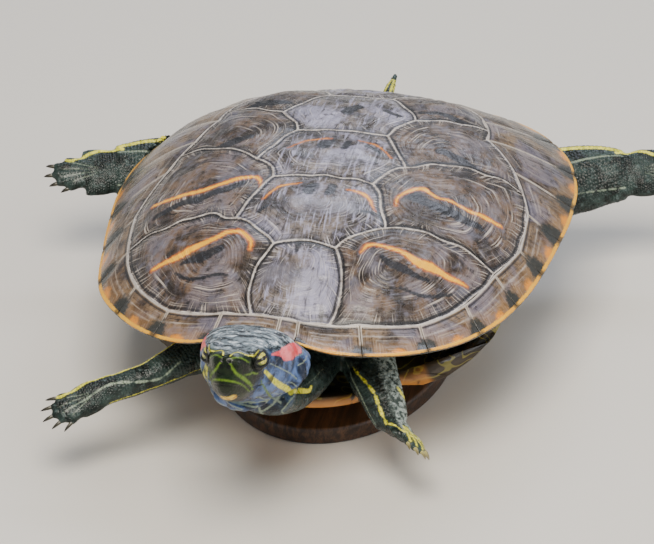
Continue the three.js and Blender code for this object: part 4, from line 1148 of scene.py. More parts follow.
NECK = [
    (2, -64, -13, 18, 11),
    (-1, -90, -13.5, 17.5, 11),
    (-6.5, -109, -11, 17.5, 10.5),
    (-11, -123, -2, 19.5, 11.5),
    (*from_head((0.6, 47, -5)), 24.4, 14.8),
    (*from_head((0, 39.5, -4.5)), 22.5, 13.4),
    (*from_head((0, 34, -4)), 14, 9),
]
TAIL = [
    (0, 66, -18, 13, 9),
    (0, 94, -17, 9.5, 7.5),
    (-2.5, 120, -15, 6.4, 5.4),
    (-5.5, 145, -12, 3.8, 3.4),
    (-4.5, 168, -8, 1.2, 1.1),
]
LEGS = {
    "foreleg_left": [
        (22, -56, -13, 14, 10),
        (29.2, -78.5, -15, 12.2, 8.5),
        (37.2, -93, -21.5, 9.8, 6.8),
        (43.2, -100.5, -30.5, 7.4, 4.8),
    ],
    "foreleg_right": [
        (-26, -58, -13, 14, 10),
        (-48, -84, -14, 9, 8),
        (-63, -99, -16.5, 6.6, 6),
        (-80.4, -108.4, -20, 6.4, 4.8),
    ],
    "hindleg_left": [
        (40, 68, -15, 13, 11),
        (72, 84, -15, 17, 9.5),
        (97, 95, -13.5, 15.5, 7.5),
        (113, 97.5, -12, 12, 5.2),
    ],
    "hindleg_right": [
        (-40, 68, -15, 13, 11),
        (-74, 77, -15, 17, 9.5),
        (-98, 73, -14, 16, 7.5),
        (-114, 68, -12.5, 12.5, 5.2),
    ],
}
TUBES = {"neck": NECK, "tail": TAIL, **LEGS}
FLAT = {  # the direction that each tube is flattened in
    "neck": (0, -0.3, 1),
    "tail": (0, 0, 1),
    "foreleg_left": (0.1, -0.6, 0.75),
    "foreleg_right": (0.1, -0.6, 0.8),
    "hindleg_left": (0.05, -0.7, 0.7),
    "hindleg_right": (-0.05, -0.7, 0.7),
}
FRONT_FOOT = {
    "toes": (11, 14, 15.5, 14.5, 11.5), "palm": 10, "wrist": 6.6,
    "web": 0.92, "toe": 2.0, "claw": 5, "clawed": 5,
}
HIND_FOOT = {
    "toes": (12, 16, 17.5, 16.5, 12), "palm": 12, "wrist": 10.5,
    "web": 0.97, "toe": 2.3, "claw": 4, "clawed": 4,
}
FEET = {  # kind, spread between toes in degrees, direction of the toes, direction of the upper side
    "foreleg_left": (FRONT_FOOT, 8, (0.64, -0.77, 0), (0.64, 0.2, 0.8)),
    "foreleg_right": (FRONT_FOOT, 11, (-0.78, -0.56, -0.22), (0.1, -0.6, 0.8)),
    "hindleg_left": (HIND_FOOT, 10, (0.98, 0.16, 0.08), (0.05, -0.66, 0.74)),
    "hindleg_right": (HIND_FOOT, 10, (-0.92, -0.36, 0.06), (-0.1, -0.68, 0.72)),
}

# %% Tubes


def closed_tube(name, rings):
    """A closed grid through rings of points (rings, points round, 3), with a cap at either end."""
    caps = np.repeat(rings[[0, -1]].mean(1, keepdims=True), rings.shape[1], 1)
    rings = np.concatenate([caps[:1], rings, caps[1:]])
    piece = laid_grid(name, np.concatenate([rings, rings[:, :1]], 1))
    close_up(piece)
    return piece


def axis_of(stations, flat, count):
    """The middle line of a tube with its sideways and upward directions and half sizes."""
    line = curve_through(stations, count)
    middle, wide, thick = line[:, :3], line[:, 3], line[:, 4]
    along = unit(np.gradient(middle, axis=0))
    sideways = unit(np.cross(np.asarray(flat, float), along))
    return middle, sideways, np.cross(along, sideways), wide, thick


def oval_tube(name, stations, flat, count=48, round_count=40, slim=SLIM):
    middle, sideways, upward, wide, thick = axis_of(stations, flat, count)
    angle = turned_circle(round_count)[None, :, None]
    across = sideways[:, None] * wide[:, None, None] * np.cos(angle)
    upright = upward[:, None] * thick[:, None, None] * np.sin(angle)
    return closed_tube(name, middle[:, None] + slim * (across + upright))


HEAD_SECTIONS = [  # behind the snout, half width, height of the crown, depth of the throat
    (-0.6, 2.8, 1.6, 8.6),
    (1, 5.6, 3.4, 12.6),
    (5, 8.2, 4.6, 15.6),
    (10, 10.6, 5.6, 17.2),
    (16, 12.8, 7.6, 18),
    (23, 16.2, 9.4, 18.6),
    (31, 19.6, 11.2, 19.4),
    (39, 20.8, 11.8, 20),
    (47, 19.6, 10.6, 19.6),
]
HEAD_SLIM = 0.985
behind, half_width, crown, throat = curve_through(HEAD_SECTIONS, 70).T[:, :, None]
angle = turned_circle(72)
up, across = np.sin(angle), np.cos(angle)
height = np.where(up > 0, crown * np.abs(up) ** 0.8, -throat * np.abs(up) ** 0.9)
narrowing = 1 - 0.2 * clamp01(-height / throat) * smooth(1 - behind / 30)
sideways = half_width * narrowing * np.sign(across) * np.abs(across) ** 0.8
head_rings = np.broadcast_arrays(HEAD_SLIM * sideways, behind, HEAD_SLIM * height)
flesh = [closed_tube("head", from_head(np.stack(head_rings, -1)))]
for side in (LEFT, RIGHT):
    place = metres(from_head(SOCKET * [side, 1, 1]))
    size = {"segments": 40, "ring_count": 24, "radius": SOCKET_RADIUS * MM}
    bpy.ops.mesh.primitive_uv_sphere_add(location=place, **size)
    flesh.append(bpy.context.object)
flesh.extend(oval_tube(name, stations, FLAT[name]) for name, stations in TUBES.items())
print("forms so far:", len(flesh))

# %% [markdown]
# ## Feet and trunk
# A slider's foot is a paddle. Each toe is a tapering tube, the web between them is a thin sheet with
# a scalloped edge, and a flat tube makes the palm. Every foot is drawn once in its own flat frame, y
# towards the toes, and is then stood at its wrist. The trunk fills the shell and barely shows.

# %% Feet and trunk
KNUCKLE = 0.65  # shares of the palm's length
FAN_START = 0.35
FAN_EDGE = 0.05  # how far the web reaches past the outer toes, in radians


class Foot:
    """One foot's sizes, its own frame and the fan of its toes."""

    def __init__(self, name):
        kind, spread, ahead, up = FEET[name]
        self.palm, self.wrist, self.toe = kind["palm"], kind["wrist"], kind["toe"]
        self.web, self.claw, self.clawed = kind["web"], kind["claw"], kind["clawed"]
        self.toes = np.array(kind["toes"], float)
        y = unit(np.array(ahead, float))
        x = unit(np.cross(y, up))
        self.basis = np.stack([x, y, np.cross(x, y)], 1)
        self.origin = np.array(LEGS[name][-1][:3], float)
        self.turns = np.radians((np.arange(5) - 2) * spread)
        self.reach = KNUCKLE * self.palm + self.toes

    def stand(self, points):
        """Brings points of the foot's frame to their place at the wrist."""
        return np.asarray(points, float) @ self.basis.T + self.origin

    def on_fan(self, angle, distance, height):
        """A place given by its turn from the middle toe and its distance from the fan's start."""
        ahead = FAN_START * self.palm + np.cos(angle) * distance
        return np.stack(np.broadcast_arrays(np.sin(angle) * distance, ahead, height), -1)

    def tube(self, name, places, radii, count, round_count, slim=SLIM):
        """A tube through places of the foot's frame. Radii are single, or pairs of half sizes."""
        radii = np.reshape(radii, (len(places), -1)) * [1, 1]
        stations = np.c_[self.stand(places), radii]
        return oval_tube(name, stations, self.basis[:, 2], count, round_count, slim)

    def palm_form(self):
        p, w = self.palm, self.wrist
        places = [(0, -5, 0), (0, 2, 0), (0, 0.6 * p, 0.2), (0, p + 3, -0.2)]
        return self.tube("palm", places, [(0.95 * w, 5), (w, 4.4), (w + 1.2, 3.6), (w + 1, 2.2)], 16, 28)

    def web_form(self):
        angle = np.linspace(self.turns[0] - FAN_EDGE, self.turns[-1] + FAN_EDGE, 61)
        hollow = 0.9 * np.abs(np.sin(np.pi * np.interp(angle, self.turns, range(5))))
        edge = np.interp(angle, self.turns, KNUCKLE * self.palm + self.web * self.toes) - hollow
        out = np.linspace(0.3 * self.palm, edge, 24)
        thick = np.linspace(1.3, 0.72, 24)[:, None]
        upper, lower = self.on_fan(angle, out, thick - 0.3), self.on_fan(angle, out, -thick - 0.3)
        return closed_tube("web", self.stand(np.concatenate([upper, lower[::-1]])).transpose(1, 0, 2))

    def toe_form(self, turn, far, length):
        knuckle = KNUCKLE * self.palm
        out = np.array([0.5 * knuckle, knuckle + 0.3 * length, knuckle + 0.6 * length, far - 1, far + 0.5])
        places = self.on_fan(turn, out, np.array([0.4, 0.65, 0.5, -0.2, -0.5]))
        return self.tube("toe", places, self.toe * np.array([1, 1.04, 0.98, 0.8, 0.45]), 18, 16, 1.0)


feet = {name: Foot(name) for name in FEET}
for foot in feet.values():
    flesh.extend([foot.palm_form(), foot.web_form()])
    flesh.extend(foot.toe_form(*toe) for toe in zip(foot.turns, foot.reach, foot.toes))

angle = turned_circle(48)
TRUNK_TOP = [0.3, 0.55, 0.72, 0.79]  # shares of the way to the rim, just under the dome
TRUNK_UNDER_DOME = 7.8
TRUNK_BELOW = [(74, 86, -3), (66, 82, -12), (53, 77, -19.5), (38, 70, -26.5)]  # half sizes, height


def oval(power):
    turns = np.stack([np.sin(angle), -np.cos(angle)], -1)
    return np.sign(turns) * np.abs(turns) ** power


trunk_rings = []
for reach in TRUNK_TOP:
    across, along = oval(2 / OVAL_POWER).T
    y = HALF_LENGTH * reach * along
    plan = np.stack([half_width_at(y) * reach * across, y], -1)
    trunk_rings.append(on_dome(plan, np.full(len(plan), -TRUNK_UNDER_DOME)))
for half_width, half_length, z in TRUNK_BELOW:
    trunk_rings.append(np.c_[oval(0.8) * (half_width, half_length), np.full(len(angle), z)])
flesh.append(closed_tube("trunk", np.stack(trunk_rings)))
print("forms of the body:", len(flesh))

# %% [markdown]
# ## One skin
# Joining the forms only puts them in one object, and they still pass through each other. A voxel
# remesh keeps what is outside and skins it afresh with even quads, as if the forms were wet clay
# pressed together. Smoothing then softens the joints. Hidden skin inside the shell is thinned out,
# and the face gets finer quads, because that is where the eye looks.

# %% Melt the forms into one skin
VOXEL = 1.0

skin = joined("skin", flesh)
skin.data.remesh_voxel_size = VOXEL * MM
bpy.ops.object.voxel_remesh()


def edit_where(piece, chosen, operator, **settings):
    """Selects the faces in which every vertex is chosen and runs one edit-mode operator on them."""
    select_only(piece)
    bpy.ops.object.mode_set(mode="EDIT")
    bpy.ops.mesh.select_all(action="DESELECT")
    bpy.ops.object.mode_set(mode="OBJECT")
    corners = read(piece.data.loops, "vertex_index", kind=int)
    starts = read(piece.data.polygons, "loop_start", kind=int)
    piece.data.polygons.foreach_set("select", np.logical_and.reduceat(chosen[corners], starts))
    bpy.ops.object.mode_set(mode="EDIT")
    bpy.ops.mesh.select_mode(type="FACE")
    operator(**settings)
    bpy.ops.object.mode_set(mode="OBJECT")


def cut_finer(chosen):
    edit_where(skin, chosen, bpy.ops.mesh.subdivide, number_cuts=1, smoothness=0)


everywhere = np.ones(len(skin.data.vertices), bool)
edit_where(skin, everywhere, bpy.ops.mesh.vertices_smooth, factor=0.5, repeat=5)

spots = places(skin)
inner = (reach_of(spots[:, 0], spots[:, 1]) < 0.77) & (spots[:, 2] > -BELLY_DEPTH)
group = skin.vertex_groups.new(name="hidden")
group.add([int(i) for i in np.flatnonzero(inner)], 1.0, "REPLACE")
before = len(skin.data.polygons)
thin = skin.modifiers.new("thin", "DECIMATE")
thin.vertex_group = "hidden"
thin.ratio = 1 - 0.93 * inner.mean()
select_only(skin)
bpy.ops.object.modifier_apply(modifier="thin")
print("skin faces:", before, "->", len(skin.data.polygons))

spots = to_head(places(skin))
cut_finer((spots[:, 1] < 49) & (spots[:, 2] < 18))
spots = to_head(places(skin))
from_eye = np.minimum(*(np.linalg.norm(spots - EYE * [side, 1, 1], axis=1) for side in (1, -1)))
near_eye = (from_eye < 7.6) & (np.abs(spots[:, 0]) > 4)
cut_finer(near_eye | (spots[:, 1] < 4) & (spots[:, 2] > -13))
print("skin faces with a finer head:", len(skin.data.polygons))

# %% [markdown]
# ## Modelling the head
# The face is now pushed into shape, as a sculptor would with a brush, but each stroke is a formula of
# the distance to a line or a point. The skin falls away under the eyeball and rolls up round it as
# two lids. The mouth is a groove under a sharp beak, the nostrils are two pits, and loose skin folds
# behind the jaw.

# %% Shape the head
EYE_GAZE = np.array([0.85, -0.46, 0.27])
EYE_TILT = 0.4  # how fast the opening and the dark bar rise towards the back
OPENING = (3.6, 2.4)  # half length and half height of the gap between the lids
MOUTH = [(0, -0.6, -9.2), (4, 1, -9.5), (7, 6, -10.2), (9.6, 14, -10.6), (12.6, 22, -8.5)]
BROW = [(2, 1.5, 3.6), (4, 6, 5.2), (7, 9.4, 6), (10, 12, 6.8)]
NOSTRIL = np.array([1.45, -0.3, 1.2])
NOSTRIL_SHIFT = np.array([0.15, 0, 0])
EARDRUM = np.array([17, 27, -1.5])


def eye_frame(side):
    """The eye's gaze and the level direction square to it."""
    gaze = EYE_GAZE * [side, 1, 1] / np.linalg.norm(EYE_GAZE)
    return gaze, unit(np.cross([0, 0, 1.0], gaze))


def lid_share(points, side):
    """0 in the middle of the eye's opening and 1 on the lid's edge, and the height along its gaze."""
    gaze, level = eye_frame(side)
    away = points - EYE * [side, 1, 1]
    long = away @ level * side
    high = away @ np.cross(gaze, level) - EYE_TILT * long
    return np.hypot(long / OPENING[0], high / OPENING[1]), away @ gaze, np.linalg.norm(away, axis=1)


def both_sides(line):
    line = np.asarray(line, float)
    return [line, line * [-1, 1, 1]]


def rolled_lids(local, side):
    """Points of the head, moved towards or away from the eye's middle to make its two lids."""
    share, height, away = lid_share(local, side)
    roll = 3.7 + 1.62 * smooth((share - 0.95) / 0.22) - 0.22 * smooth((share - 1.2) / 0.4)
    crease = -0.3 * bell(share - 1.72, 0.14) + 0.2 * bell(share - 2.05, 0.2)
    wanted = mix(roll, away, smooth((share - 1.45) / 0.8)) + crease
    radius = mix(away, wanted, smooth(height / 1.2))
    centre = EYE * [side, 1, 1]
    return centre + (local - centre) * (radius / np.maximum(away, 1e-6))[:, None]


def sculpt_head(points):
    head = to_head(points)
    near = (head[:, 1] < 60) & (head[:, 2] < 25)
    local = head[near]
    for side in (LEFT, RIGHT):
        local = rolled_lids(local, side)
    middle = [np.zeros(len(local)), np.minimum(local[:, 1], 30), np.full(len(local), -5)]
    outward = unit(local - np.stack(middle, -1))
    push = np.zeros(len(local))
    for line in both_sides(MOUTH):
        gap = distance_to_line(local, curve_through(line, 30))[0]
        above = smooth((local[:, 2] + 9.4) / 0.8)
        push += -0.75 * bell(gap, 0.45) + 0.28 * above * bell(gap - 1.2, 1.0)
    for side in (LEFT, RIGHT):
        pit = np.linalg.norm(local - NOSTRIL * [side, 1, 1] - NOSTRIL_SHIFT, axis=1)
        push += -0.8 * bell(pit, 0.62) + 0.18 * bell(pit - 1.25, 0.5)
        drum = np.linalg.norm(local - EARDRUM * [side, 1, 1], axis=1)
        push += -0.25 * bell(drum - 3.8, 0.7)
    for line in both_sides(BROW):
        push += 0.45 * bell(distance_to_line(local, curve_through(line, 20))[0], 1.1)
    loose = smooth((local[:, 1] - 30) / 10)
    folds = np.sin(2 * np.pi * (local[:, 1] + 1.5 * ripple(local, 26, 31)) / 5.2)
    push += 0.28 * loose * folds + 0.16 * smooth((local[:, 1] - 4) / 6) * ripple(local, 7, 32)
    head[near] = local + outward * push[:, None]
    return from_head(head)


def under_rim(points):
    """The height that the skin stays below where it passes under the rim plates."""
    plan = points[:, :2].copy()
    for _ in range(4):
        plan -= dome_point(plan[:, 0], plan[:, 1])[:, :2] - points[:, :2]
    reach = reach_of(plan[:, 0], plan[:, 1])
    on_rim = np.interp(plan[:, 1] / np.maximum(reach, 0.05), rim_y, rim_length)
    number = (on_rim - NUCHAL_HALF_WIDTH) / MARGINAL_LENGTH
    root = np.where(plan[:, 0] > 0, loop_reach(number, LEFT), loop_reach(number, RIGHT))
    thickness = rim_thickness((reach - root) / (1 - root))
    ceiling = dome_point(plan[:, 0], plan[:, 1])[:, 2] - thickness - 1.1
    inside = (reach > root - 0.03) & (reach < 1.03)
    inside &= (points[:, 2] > ceiling) & (points[:, 2] < ceiling + 14)
    return np.where(inside, ceiling, np.inf)


points = sculpt_head(places(skin))
points[:, 2] = np.minimum(points[:, 2], under_rim(points))
move_to(skin, points)
y = points[:, 1]
creased = smooth((-y - 60) / 12) * smooth((y + 128) / 10) + smooth((y - 60) / 12)
crease = 0.22 * clamp01(creased) * ripple(points, 9, 33)
points += read(skin.data.vertices, "normal", 3) * crease[:, None]
move_to(skin, points)
bpy.ops.object.shade_smooth()
print("lowest and highest skin", points.min(0).round(1), points.max(0).round(1))

# %% [markdown]
# ## Stripes as strokes
# A slider's skin is dark, with lines of yellow, green and grey that run along the body, and the red
# ear mark that names the animal. Painting a picture on the skin would blur on the export, so each
# line is a stroke through a few places, pressed onto the skin, and every vertex stores how far it is
# from the nearest stroke of each colour. The scales read the same strokes, so the stripes run on.

# %% Strokes
TWIN_STROKES = [  # kind, places in the head's frame, half widths. The other side has them too
    ("green", [(2.1, -0.6, 0.1), (4.6, 0.7, -3.6), (6.8, 4.4, -5.8), (8.8, 10.8, -9.3), (9.4, 13.7, -11.6)],
     (0.4, 0.8, 0.5)),
    ("green", [(0, -0.8, -6.9), (4.3, 1.3, -7.4), (6.8, 6.1, -9.2), (8.2, 12.3, -12.4)], (0.4, 0.35, 0.2)),
    ("green", [(1.9, 0.6, 1.9), (4.4, 3.2, 1.7), (7.4, 6.6, 0.6)], (0.2, 0.4, 0.2)),
    ("green", [(5.6, 6, -4.2), (8.4, 9.6, -4), (11, 12.6, -4.4)], (0.2, 0.4, 0.3)),
    ("green", [(10.4, 17.2, -7.6), (11.8, 21, -11), (12.6, 27, -14.4), (12, 36, -17.6)], (0.3, 0.5, 0.4)),
    ("yellow", [(1.5, 1, 3.2), (3.2, 5, 4.1), (7.1, 7, 3.8), (9.6, 9.4, 3.1)], (0.2, 0.3, 0.35)),
    ("yellow", [(9.6, 9.4, 3.1), (10.6, 12, 4.4), (11.8, 15.4, 5)], (0.35, 0.25, 0.1)),
    ("yellow", [(12.9, 17.4, -3.8), (15, 22.8, -7.6), (16.4, 29.3, -10.4), (17.5, 39.8, -13.5),
                (16.2, 50, -15.4)], (0.8, 1.2, 1.35, 1.35, 1.1)),
    ("pale", [(14.2, 19.4, -0.6), (16.4, 24.5, -2.4), (19, 37, -6.4), (19.6, 48, -8.8)],
     (0.15, 0.25, 0.25, 0.15)),
    ("pale", [(17.8, 30, -9.6), (20.4, 39, -10.8), (19, 50, -12.2)], (0.1, 0.2, 0.15)),
    ("pale", [(21.4, 38, -2.6), (22.6, 43, -1.2), (21.8, 49, 0.4)], (0.15, 0.25, 0.15)),
    ("pale", [(9.9, 20.5, -16.8), (9.9, 30.5, -17.6), (8.9, 60.3, -20.4)], (0.3, 0.6, 0.4)),
    ("pale", [(14.6, 27, -15), (15.4, 40, -16.6), (13, 54, -18.6)], (0.15, 0.25, 0.15)),
    ("pale", [(1.5, 12, -17.6), (2, 30, -19.6), (2.8, 60, -24)], (0.2, 0.5, 0.6)),
    ("red", [(14.4, 20.6, 3.2), (15.9, 24.2, 3.3), (17.2, 27.4, 3)], (0.35, 0.9, 1.6)),
    ("red", [(17.8, 28.6, 3), (18.8, 32, 3.2), (19.3, 37, 4), (19.3, 42.3, 4.1), (18.4, 50, 3.9)],
     (3, 3.4, 2.8, 2.5, 0.9)),
]
LONE_STROKES = [
    ("yellow", [(16.2, 50, -15.4), (15.2, 60.6, -16.8), (16.9, 63.9, -16.3), (18, 68.4, -17),
                (19, 73.2, -17.4), (19.4, 76.1, -15.6)], (1, 1.1, 1.2, 1.2, 1, 0.6)),
    ("chin", [(-0.4, 5.4, -14.9), (2.4, 5.6, -15)], (2, 2.3)),
    ("yellow", [(-11.6, 15.2, -4), (-13.3, 18, -7.6), (-14.2, 22.5, -11)], (0.8, 1.2, 1)),
]


def along_tube(name, turns, start=0.0, end=1.0):
    """A line on a tube's surface at the given angles, in degrees: 0 is one edge and 90 the top."""
    steps = np.linspace(0, 1, 60)
    middle, sideways, upward, wide, thick = axis_of(TUBES[name], FLAT[name], len(steps))
    span = slice(int(start * 59), int(end * 59) + 1)
    angle = np.radians(np.interp(steps[span], np.linspace(start, end, len(turns)), turns))[:, None]
    across = sideways[span] * wide[span, None] * np.cos(angle)
    return (middle[span] + across + upward[span] * thick[span, None] * np.sin(angle))[::3]


FORELEG_STRIPE = [
    (22.7, -85.3, -11.5), (27.1, -90.4, -13), (32.3, -95.4, -15.3), (35.3, -97.8, -17.8),
    (37.6, -101.1, -21.3), (41.4, -106.7, -26), (48.6, -110.7, -26.2), (54.2, -114.6, -27.4),
]
FORELEG_DOTS = [
    (-50.1, -94.9, -10.9), (-57.5, -102.2, -15.2), (-65.3, -106.6, -15.2),
    (-77.7, -109.9, -15.4), (-87.5, -116.2, -20.5), (-94.9, -121, -23.8),
]
BODY_STROKES = [  # kind, line, half widths, pitch of the dashes or 0
    ("yellow", FORELEG_STRIPE, (0.5, 0.75, 0.8, 0.65), 5.4),
    ("yellow", [(44, -92, -17), (45.6, -92.6, -18.7), (47.3, -92.5, -22.3)], (0.6, 0.95, 0.6), 0),
    ("pale", FORELEG_DOTS, (0.4, 0.65, 0.35), 6.5),
]
LIMB_STROKES = [  # kind, limb, turns in degrees, start and end, half widths, pitch of the dashes or 0
    ("pale", "foreleg_left", (140, 150, 160), (0.3, 0.95), (0.2, 0.4, 0.2), 0),
    ("yellow", "foreleg_left", (-70, -80), (0.3, 0.95), (0.4, 0.9), 6),
    ("yellow", "foreleg_right", (156, 150, 148, 152), (0.25, 1.0), (0.7, 1, 1, 0.9), 0),
    ("yellow", "foreleg_right", (12, 6, 4), (0.35, 1.0), (0.15, 0.3, 0.35), 0),
    ("yellow", "foreleg_right", (-80, -90), (0.3, 1.0), (0.4, 0.8), 6),
    ("yellow", "hindleg_left", (30, 30, 26), (0.35, 1.0), (1, 1.25, 1.2), 0),
    ("pale", "hindleg_left", (75, 62, 50), (0.4, 1.0), (0.3, 0.5, 0.3), 0),
    ("pale", "hindleg_left", (120, 128), (0.4, 1.0), (0.2, 0.45), 5),
    ("yellow", "hindleg_left", (-60, -70), (0.35, 1.0), (0.5, 0.9), 0),
    ("yellow", "hindleg_right", (150, 150, 154), (0.35, 1.0), (1, 1.25, 1.2), 0),
    ("pale", "hindleg_right", (105, 118, 130), (0.4, 1.0), (0.3, 0.5, 0.3), 0),
    ("pale", "hindleg_right", (60, 52), (0.4, 1.0), (0.2, 0.45), 5),
    ("yellow", "hindleg_right", (240, 250), (0.35, 1.0), (0.5, 0.9), 0),
]
TAIL_TURNS = {20: 0.7, 62: 0.9, 118: 0.9, 160: 0.7, 200: 0.5, 245: 0.7, 295: 0.7, 340: 0.5}  # half widths
NECK_TURNS = {
    35: 0.2, 60: 0.18, 112: 0.18, 140: 0.22, 185: 0.35, 215: 0.45, 245: 0.55, 290: 0.55, 325: 0.4,
}
for turn, wide in TAIL_TURNS.items():
    LIMB_STROKES.append(("yellow", "tail", (turn, turn), (0.25, 0.98), (wide, 0.9 * wide, 0.4), 0))
for turn, wide in NECK_TURNS.items():
    LIMB_STROKES.append(("pale", "neck", (turn, turn), (0.2, 0.8), (0.6 * wide, wide, wide), 0))
for kind, name, turns, span, wide, pitch in LIMB_STROKES:
    BODY_STROKES.append((kind, along_tube(name, turns, *span), wide, pitch))
UPPER_TOE = {"foreleg_right": 4, "hindleg_left": 0, "hindleg_right": 4}  # on the foot's upper edge


def toe_strokes(name, foot):
    """The lines of a foot: along each toe of the lowered hand, and along one edge of the others."""

    def out_along(turn, far):
        return foot.stand(foot.on_fan(turn, np.linspace(0.4 * foot.palm, far + 0.5, 8), 2.2))

    if name not in UPPER_TOE:
        return [("yellow", out_along(*toe), (0.3, 0.55, 0.5), 0) for toe in zip(foot.turns, foot.reach)]
    outer = UPPER_TOE[name]
    half = np.sign(foot.turns[outer]) * foot.wrist
    toe = foot.on_fan(foot.turns[outer], np.array([0.8, 1.02]) * foot.reach[outer], 1.4)
    edge = np.concatenate([[(0.8 * half, -3, 2.6), (half, 0.5 * foot.palm, 2.6)], toe])
    lines = [("yellow", foot.stand(edge), (1, 0.9, 0.6), 0)]
    for turn, far in zip((foot.turns[1:] + foot.turns[:-1]) / 2, foot.reach):
        lines.append(("pale", out_along(turn, 0.85 * far), (0.05, 0.22, 0.1), 0))
    return lines


for name, foot in feet.items():
    BODY_STROKES.extend(toe_strokes(name, foot))


def on_skin(spots):
    """The nearest places on the skin and the directions that the skin faces there."""
    hits = [skin.closest_point_on_mesh(Vector(spot)) for spot in metres(spots)]
    return np.array([hit[1] for hit in hits]) / MM - [0, 0, RIM_HEIGHT], np.array([hit[2] for hit in hits])


def stroke_distance(points, line, half_widths, pitch):
    """Distance in mm from each point to the stroke's edge, negative inside it."""
    reach = np.linalg.norm(points - line.mean(0), axis=1)
    size = np.linalg.norm(line - line.mean(0), axis=1).max()
    nearest = np.full(len(points), 20.0)
    near = np.flatnonzero(reach < size + 8)
    place = travelled(line)
    wide = np.interp(place, np.linspace(0, place[-1], len(half_widths)), half_widths)
    if pitch:
        wide = wide * np.clip(1.25 + 1.1 * np.cos(2 * np.pi * place / pitch), 0.15, 1)
    nearest[near] = np.minimum(distance_to_line(points[near], line, wide)[0], 20)
    return nearest


STROKES = {kind: [] for kind in ("pale", "green", "yellow", "chin", "red")}
twins = [(kind, twin, wide) for kind, line, wide in TWIN_STROKES for twin in both_sides(line)]
for kind, line, wide in [*twins, *LONE_STROKES]:
    fine = curve_through(from_head(line), 9 * len(line))
    STROKES[kind].append((on_skin(fine)[0], wide, 0))
for kind, line, wide, pitch in BODY_STROKES:
    STROKES[kind].append((on_skin(curve_through(line, 5 * len(line)))[0], wide, pitch))
print("strokes:", sum(len(lines) for lines in STROKES.values()))

# %% What every point of the skin knows


def skin_marks(points):
    """Numbers for the material: distances to strokes in mm, and where on the animal a point is."""
    head = to_head(points)
    marks = {
        kind: np.minimum.reduce([stroke_distance(points, *stroke) for stroke in lines])
        for kind, lines in STROKES.items()
    }
    lid = np.minimum(lid_share(head, LEFT)[0], lid_share(head, RIGHT)[0])
    marks["lid"] = np.where(np.abs(head[:, 1] - EYE[1]) < 9, lid, 9.0)
    lip = np.minimum(*(distance_to_line(head, curve_through(line, 16))[0] for line in both_sides(MOUTH)))
    nostril = np.linalg.norm(np.abs(head) - [1.6, 0.3, 1.2], axis=1)
    marks["lip"] = np.minimum(np.minimum(lip, nostril - 0.5), 20)
    marks["behind"] = np.clip(head[:, 1], -2, 90)
    marks["crown"] = np.where(head[:, 1] < 60, head[:, 2], 0)
    limb = smooth((np.abs(points[:, 0]) - 18) / 10) * (np.abs(points[:, 1]) > 60)
    tail = smooth((points[:, 1] - 92) / 10)
    marks["scaly"] = np.maximum(limb, tail) * (head[:, 1] > 60)
    middle, sideways, _, wide, _ = axis_of(LEGS["foreleg_left"], FLAT["foreleg_left"], 40)
    nearest = np.full(len(points), 1e3)
    share = np.zeros(len(points))
    for spot, side_way, half in zip(middle, sideways, wide):
        gap = np.linalg.norm(points - spot, axis=1)
        closer = gap < nearest
        nearest[closer] = gap[closer]
        share[closer] = ((points[closer] - spot) @ side_way) / half
    marks["rear"] = np.where(nearest < 18, share, 0)
    return marks


write_marks(skin, skin_marks(places(skin)))

# %% [markdown]
# ## Wet skin
# Turtle skin is dry leather on land, but in water it is glossy and almost black-green. The finish
# starts dark, turns blue-grey on the sides of the head and neck, a painted reflection of the sky on
# the wet skin, and gets a fine grain of little bumps. The crown is dark grey with pale flecks, painted
# highlights for the glints of its wet film. The strokes go on top in their own colours with slightly
# ragged edges. The lids' edges, the mouth and the nostrils are darkened with painted shade, and the
# horny beak is more olive than the skin round it.

# %% Skin material
wet = Recipe("Wet turtle skin", 1300)  # keratin over dark pigment, with a film of water
yellow, green, pale, chin, red = wet.marks("yellow", "green", "pale", "chin", "red")
lid, lip, behind, crown, scaly, rear = wet.marks("lid", "lip", "behind", "crown", "scaly", "rear")
clouds = wet.noise(130, 4, 0.6, 0.3)
motes = wet.noise(520, 3, 0.6)
glints = wet.noise((180, 396, 360), 3, 0.62, 0.5)
grain = wet.add("TexVoronoi", {"feature": "SMOOTH_F1"}, Vector=wet.place, Scale=950.0)["Distance"]
on_head = wet.ramp(behind, 60, 46)

wet.colour = wet.tones(clouds, 0.35, 0.65, "#121916", "#303f3b")
wet.paint("#5d6e6c", motes, 0.55, 0.7, 0, 0.5)
wet.paint(wet.tones(motes, 0.4, 0.6, "#3c4844", "#a0ada8"), wet.torn(rear, 0.5), 0.05, 0.45)
# painted reflection: the blue-grey of the head's and neck's sides stands in for the sky mirrored on the wet
# skin
wet.paint(wet.tones(clouds, 0.4, 0.64, "#182337", "#5872a4"), on_head)
wet.paint(wet.tones(clouds, 0.35, 0.65, "#040704", "#15260f"), behind, 17, 11)
# painted highlights: a dark grey crown with pale flecks and streaks standing in for the glints of the wet
# skin
crown_with_painted_glints = wet.tones(glints, 0.38, 0.58, "#1c2428", "#7c8a93")
crown_with_painted_glints = wet.blend(wet.ramp(glints, 0.57, 0.67, 0, 0.85), crown_with_painted_glints, "#ccd5db")
crown_with_painted_glints = wet.blend(wet.ramp(motes, 0.6, 0.68, 0, 0.8), crown_with_painted_glints, "#dfe6ea")
wet.paint(crown_with_painted_glints, wet.times(wet.ramp(crown, 3, 6), on_head))
beak = wet.times(wet.ramp(lip, 3.4, 2.2), wet.ramp(behind, 16, 10))
wet.paint(wet.blend(motes, "#050905", "#1a2711"), beak)
wet.paint(wet.blend(motes, "#76867c", "#b3c2a4"), wet.torn(pale, 0.6), 0.3, -0.3, 0, 0.75)
wet.paint(wet.blend(motes, "#33500f", "#72902a"), wet.torn(green, 0.6), 0.5, -0.5)
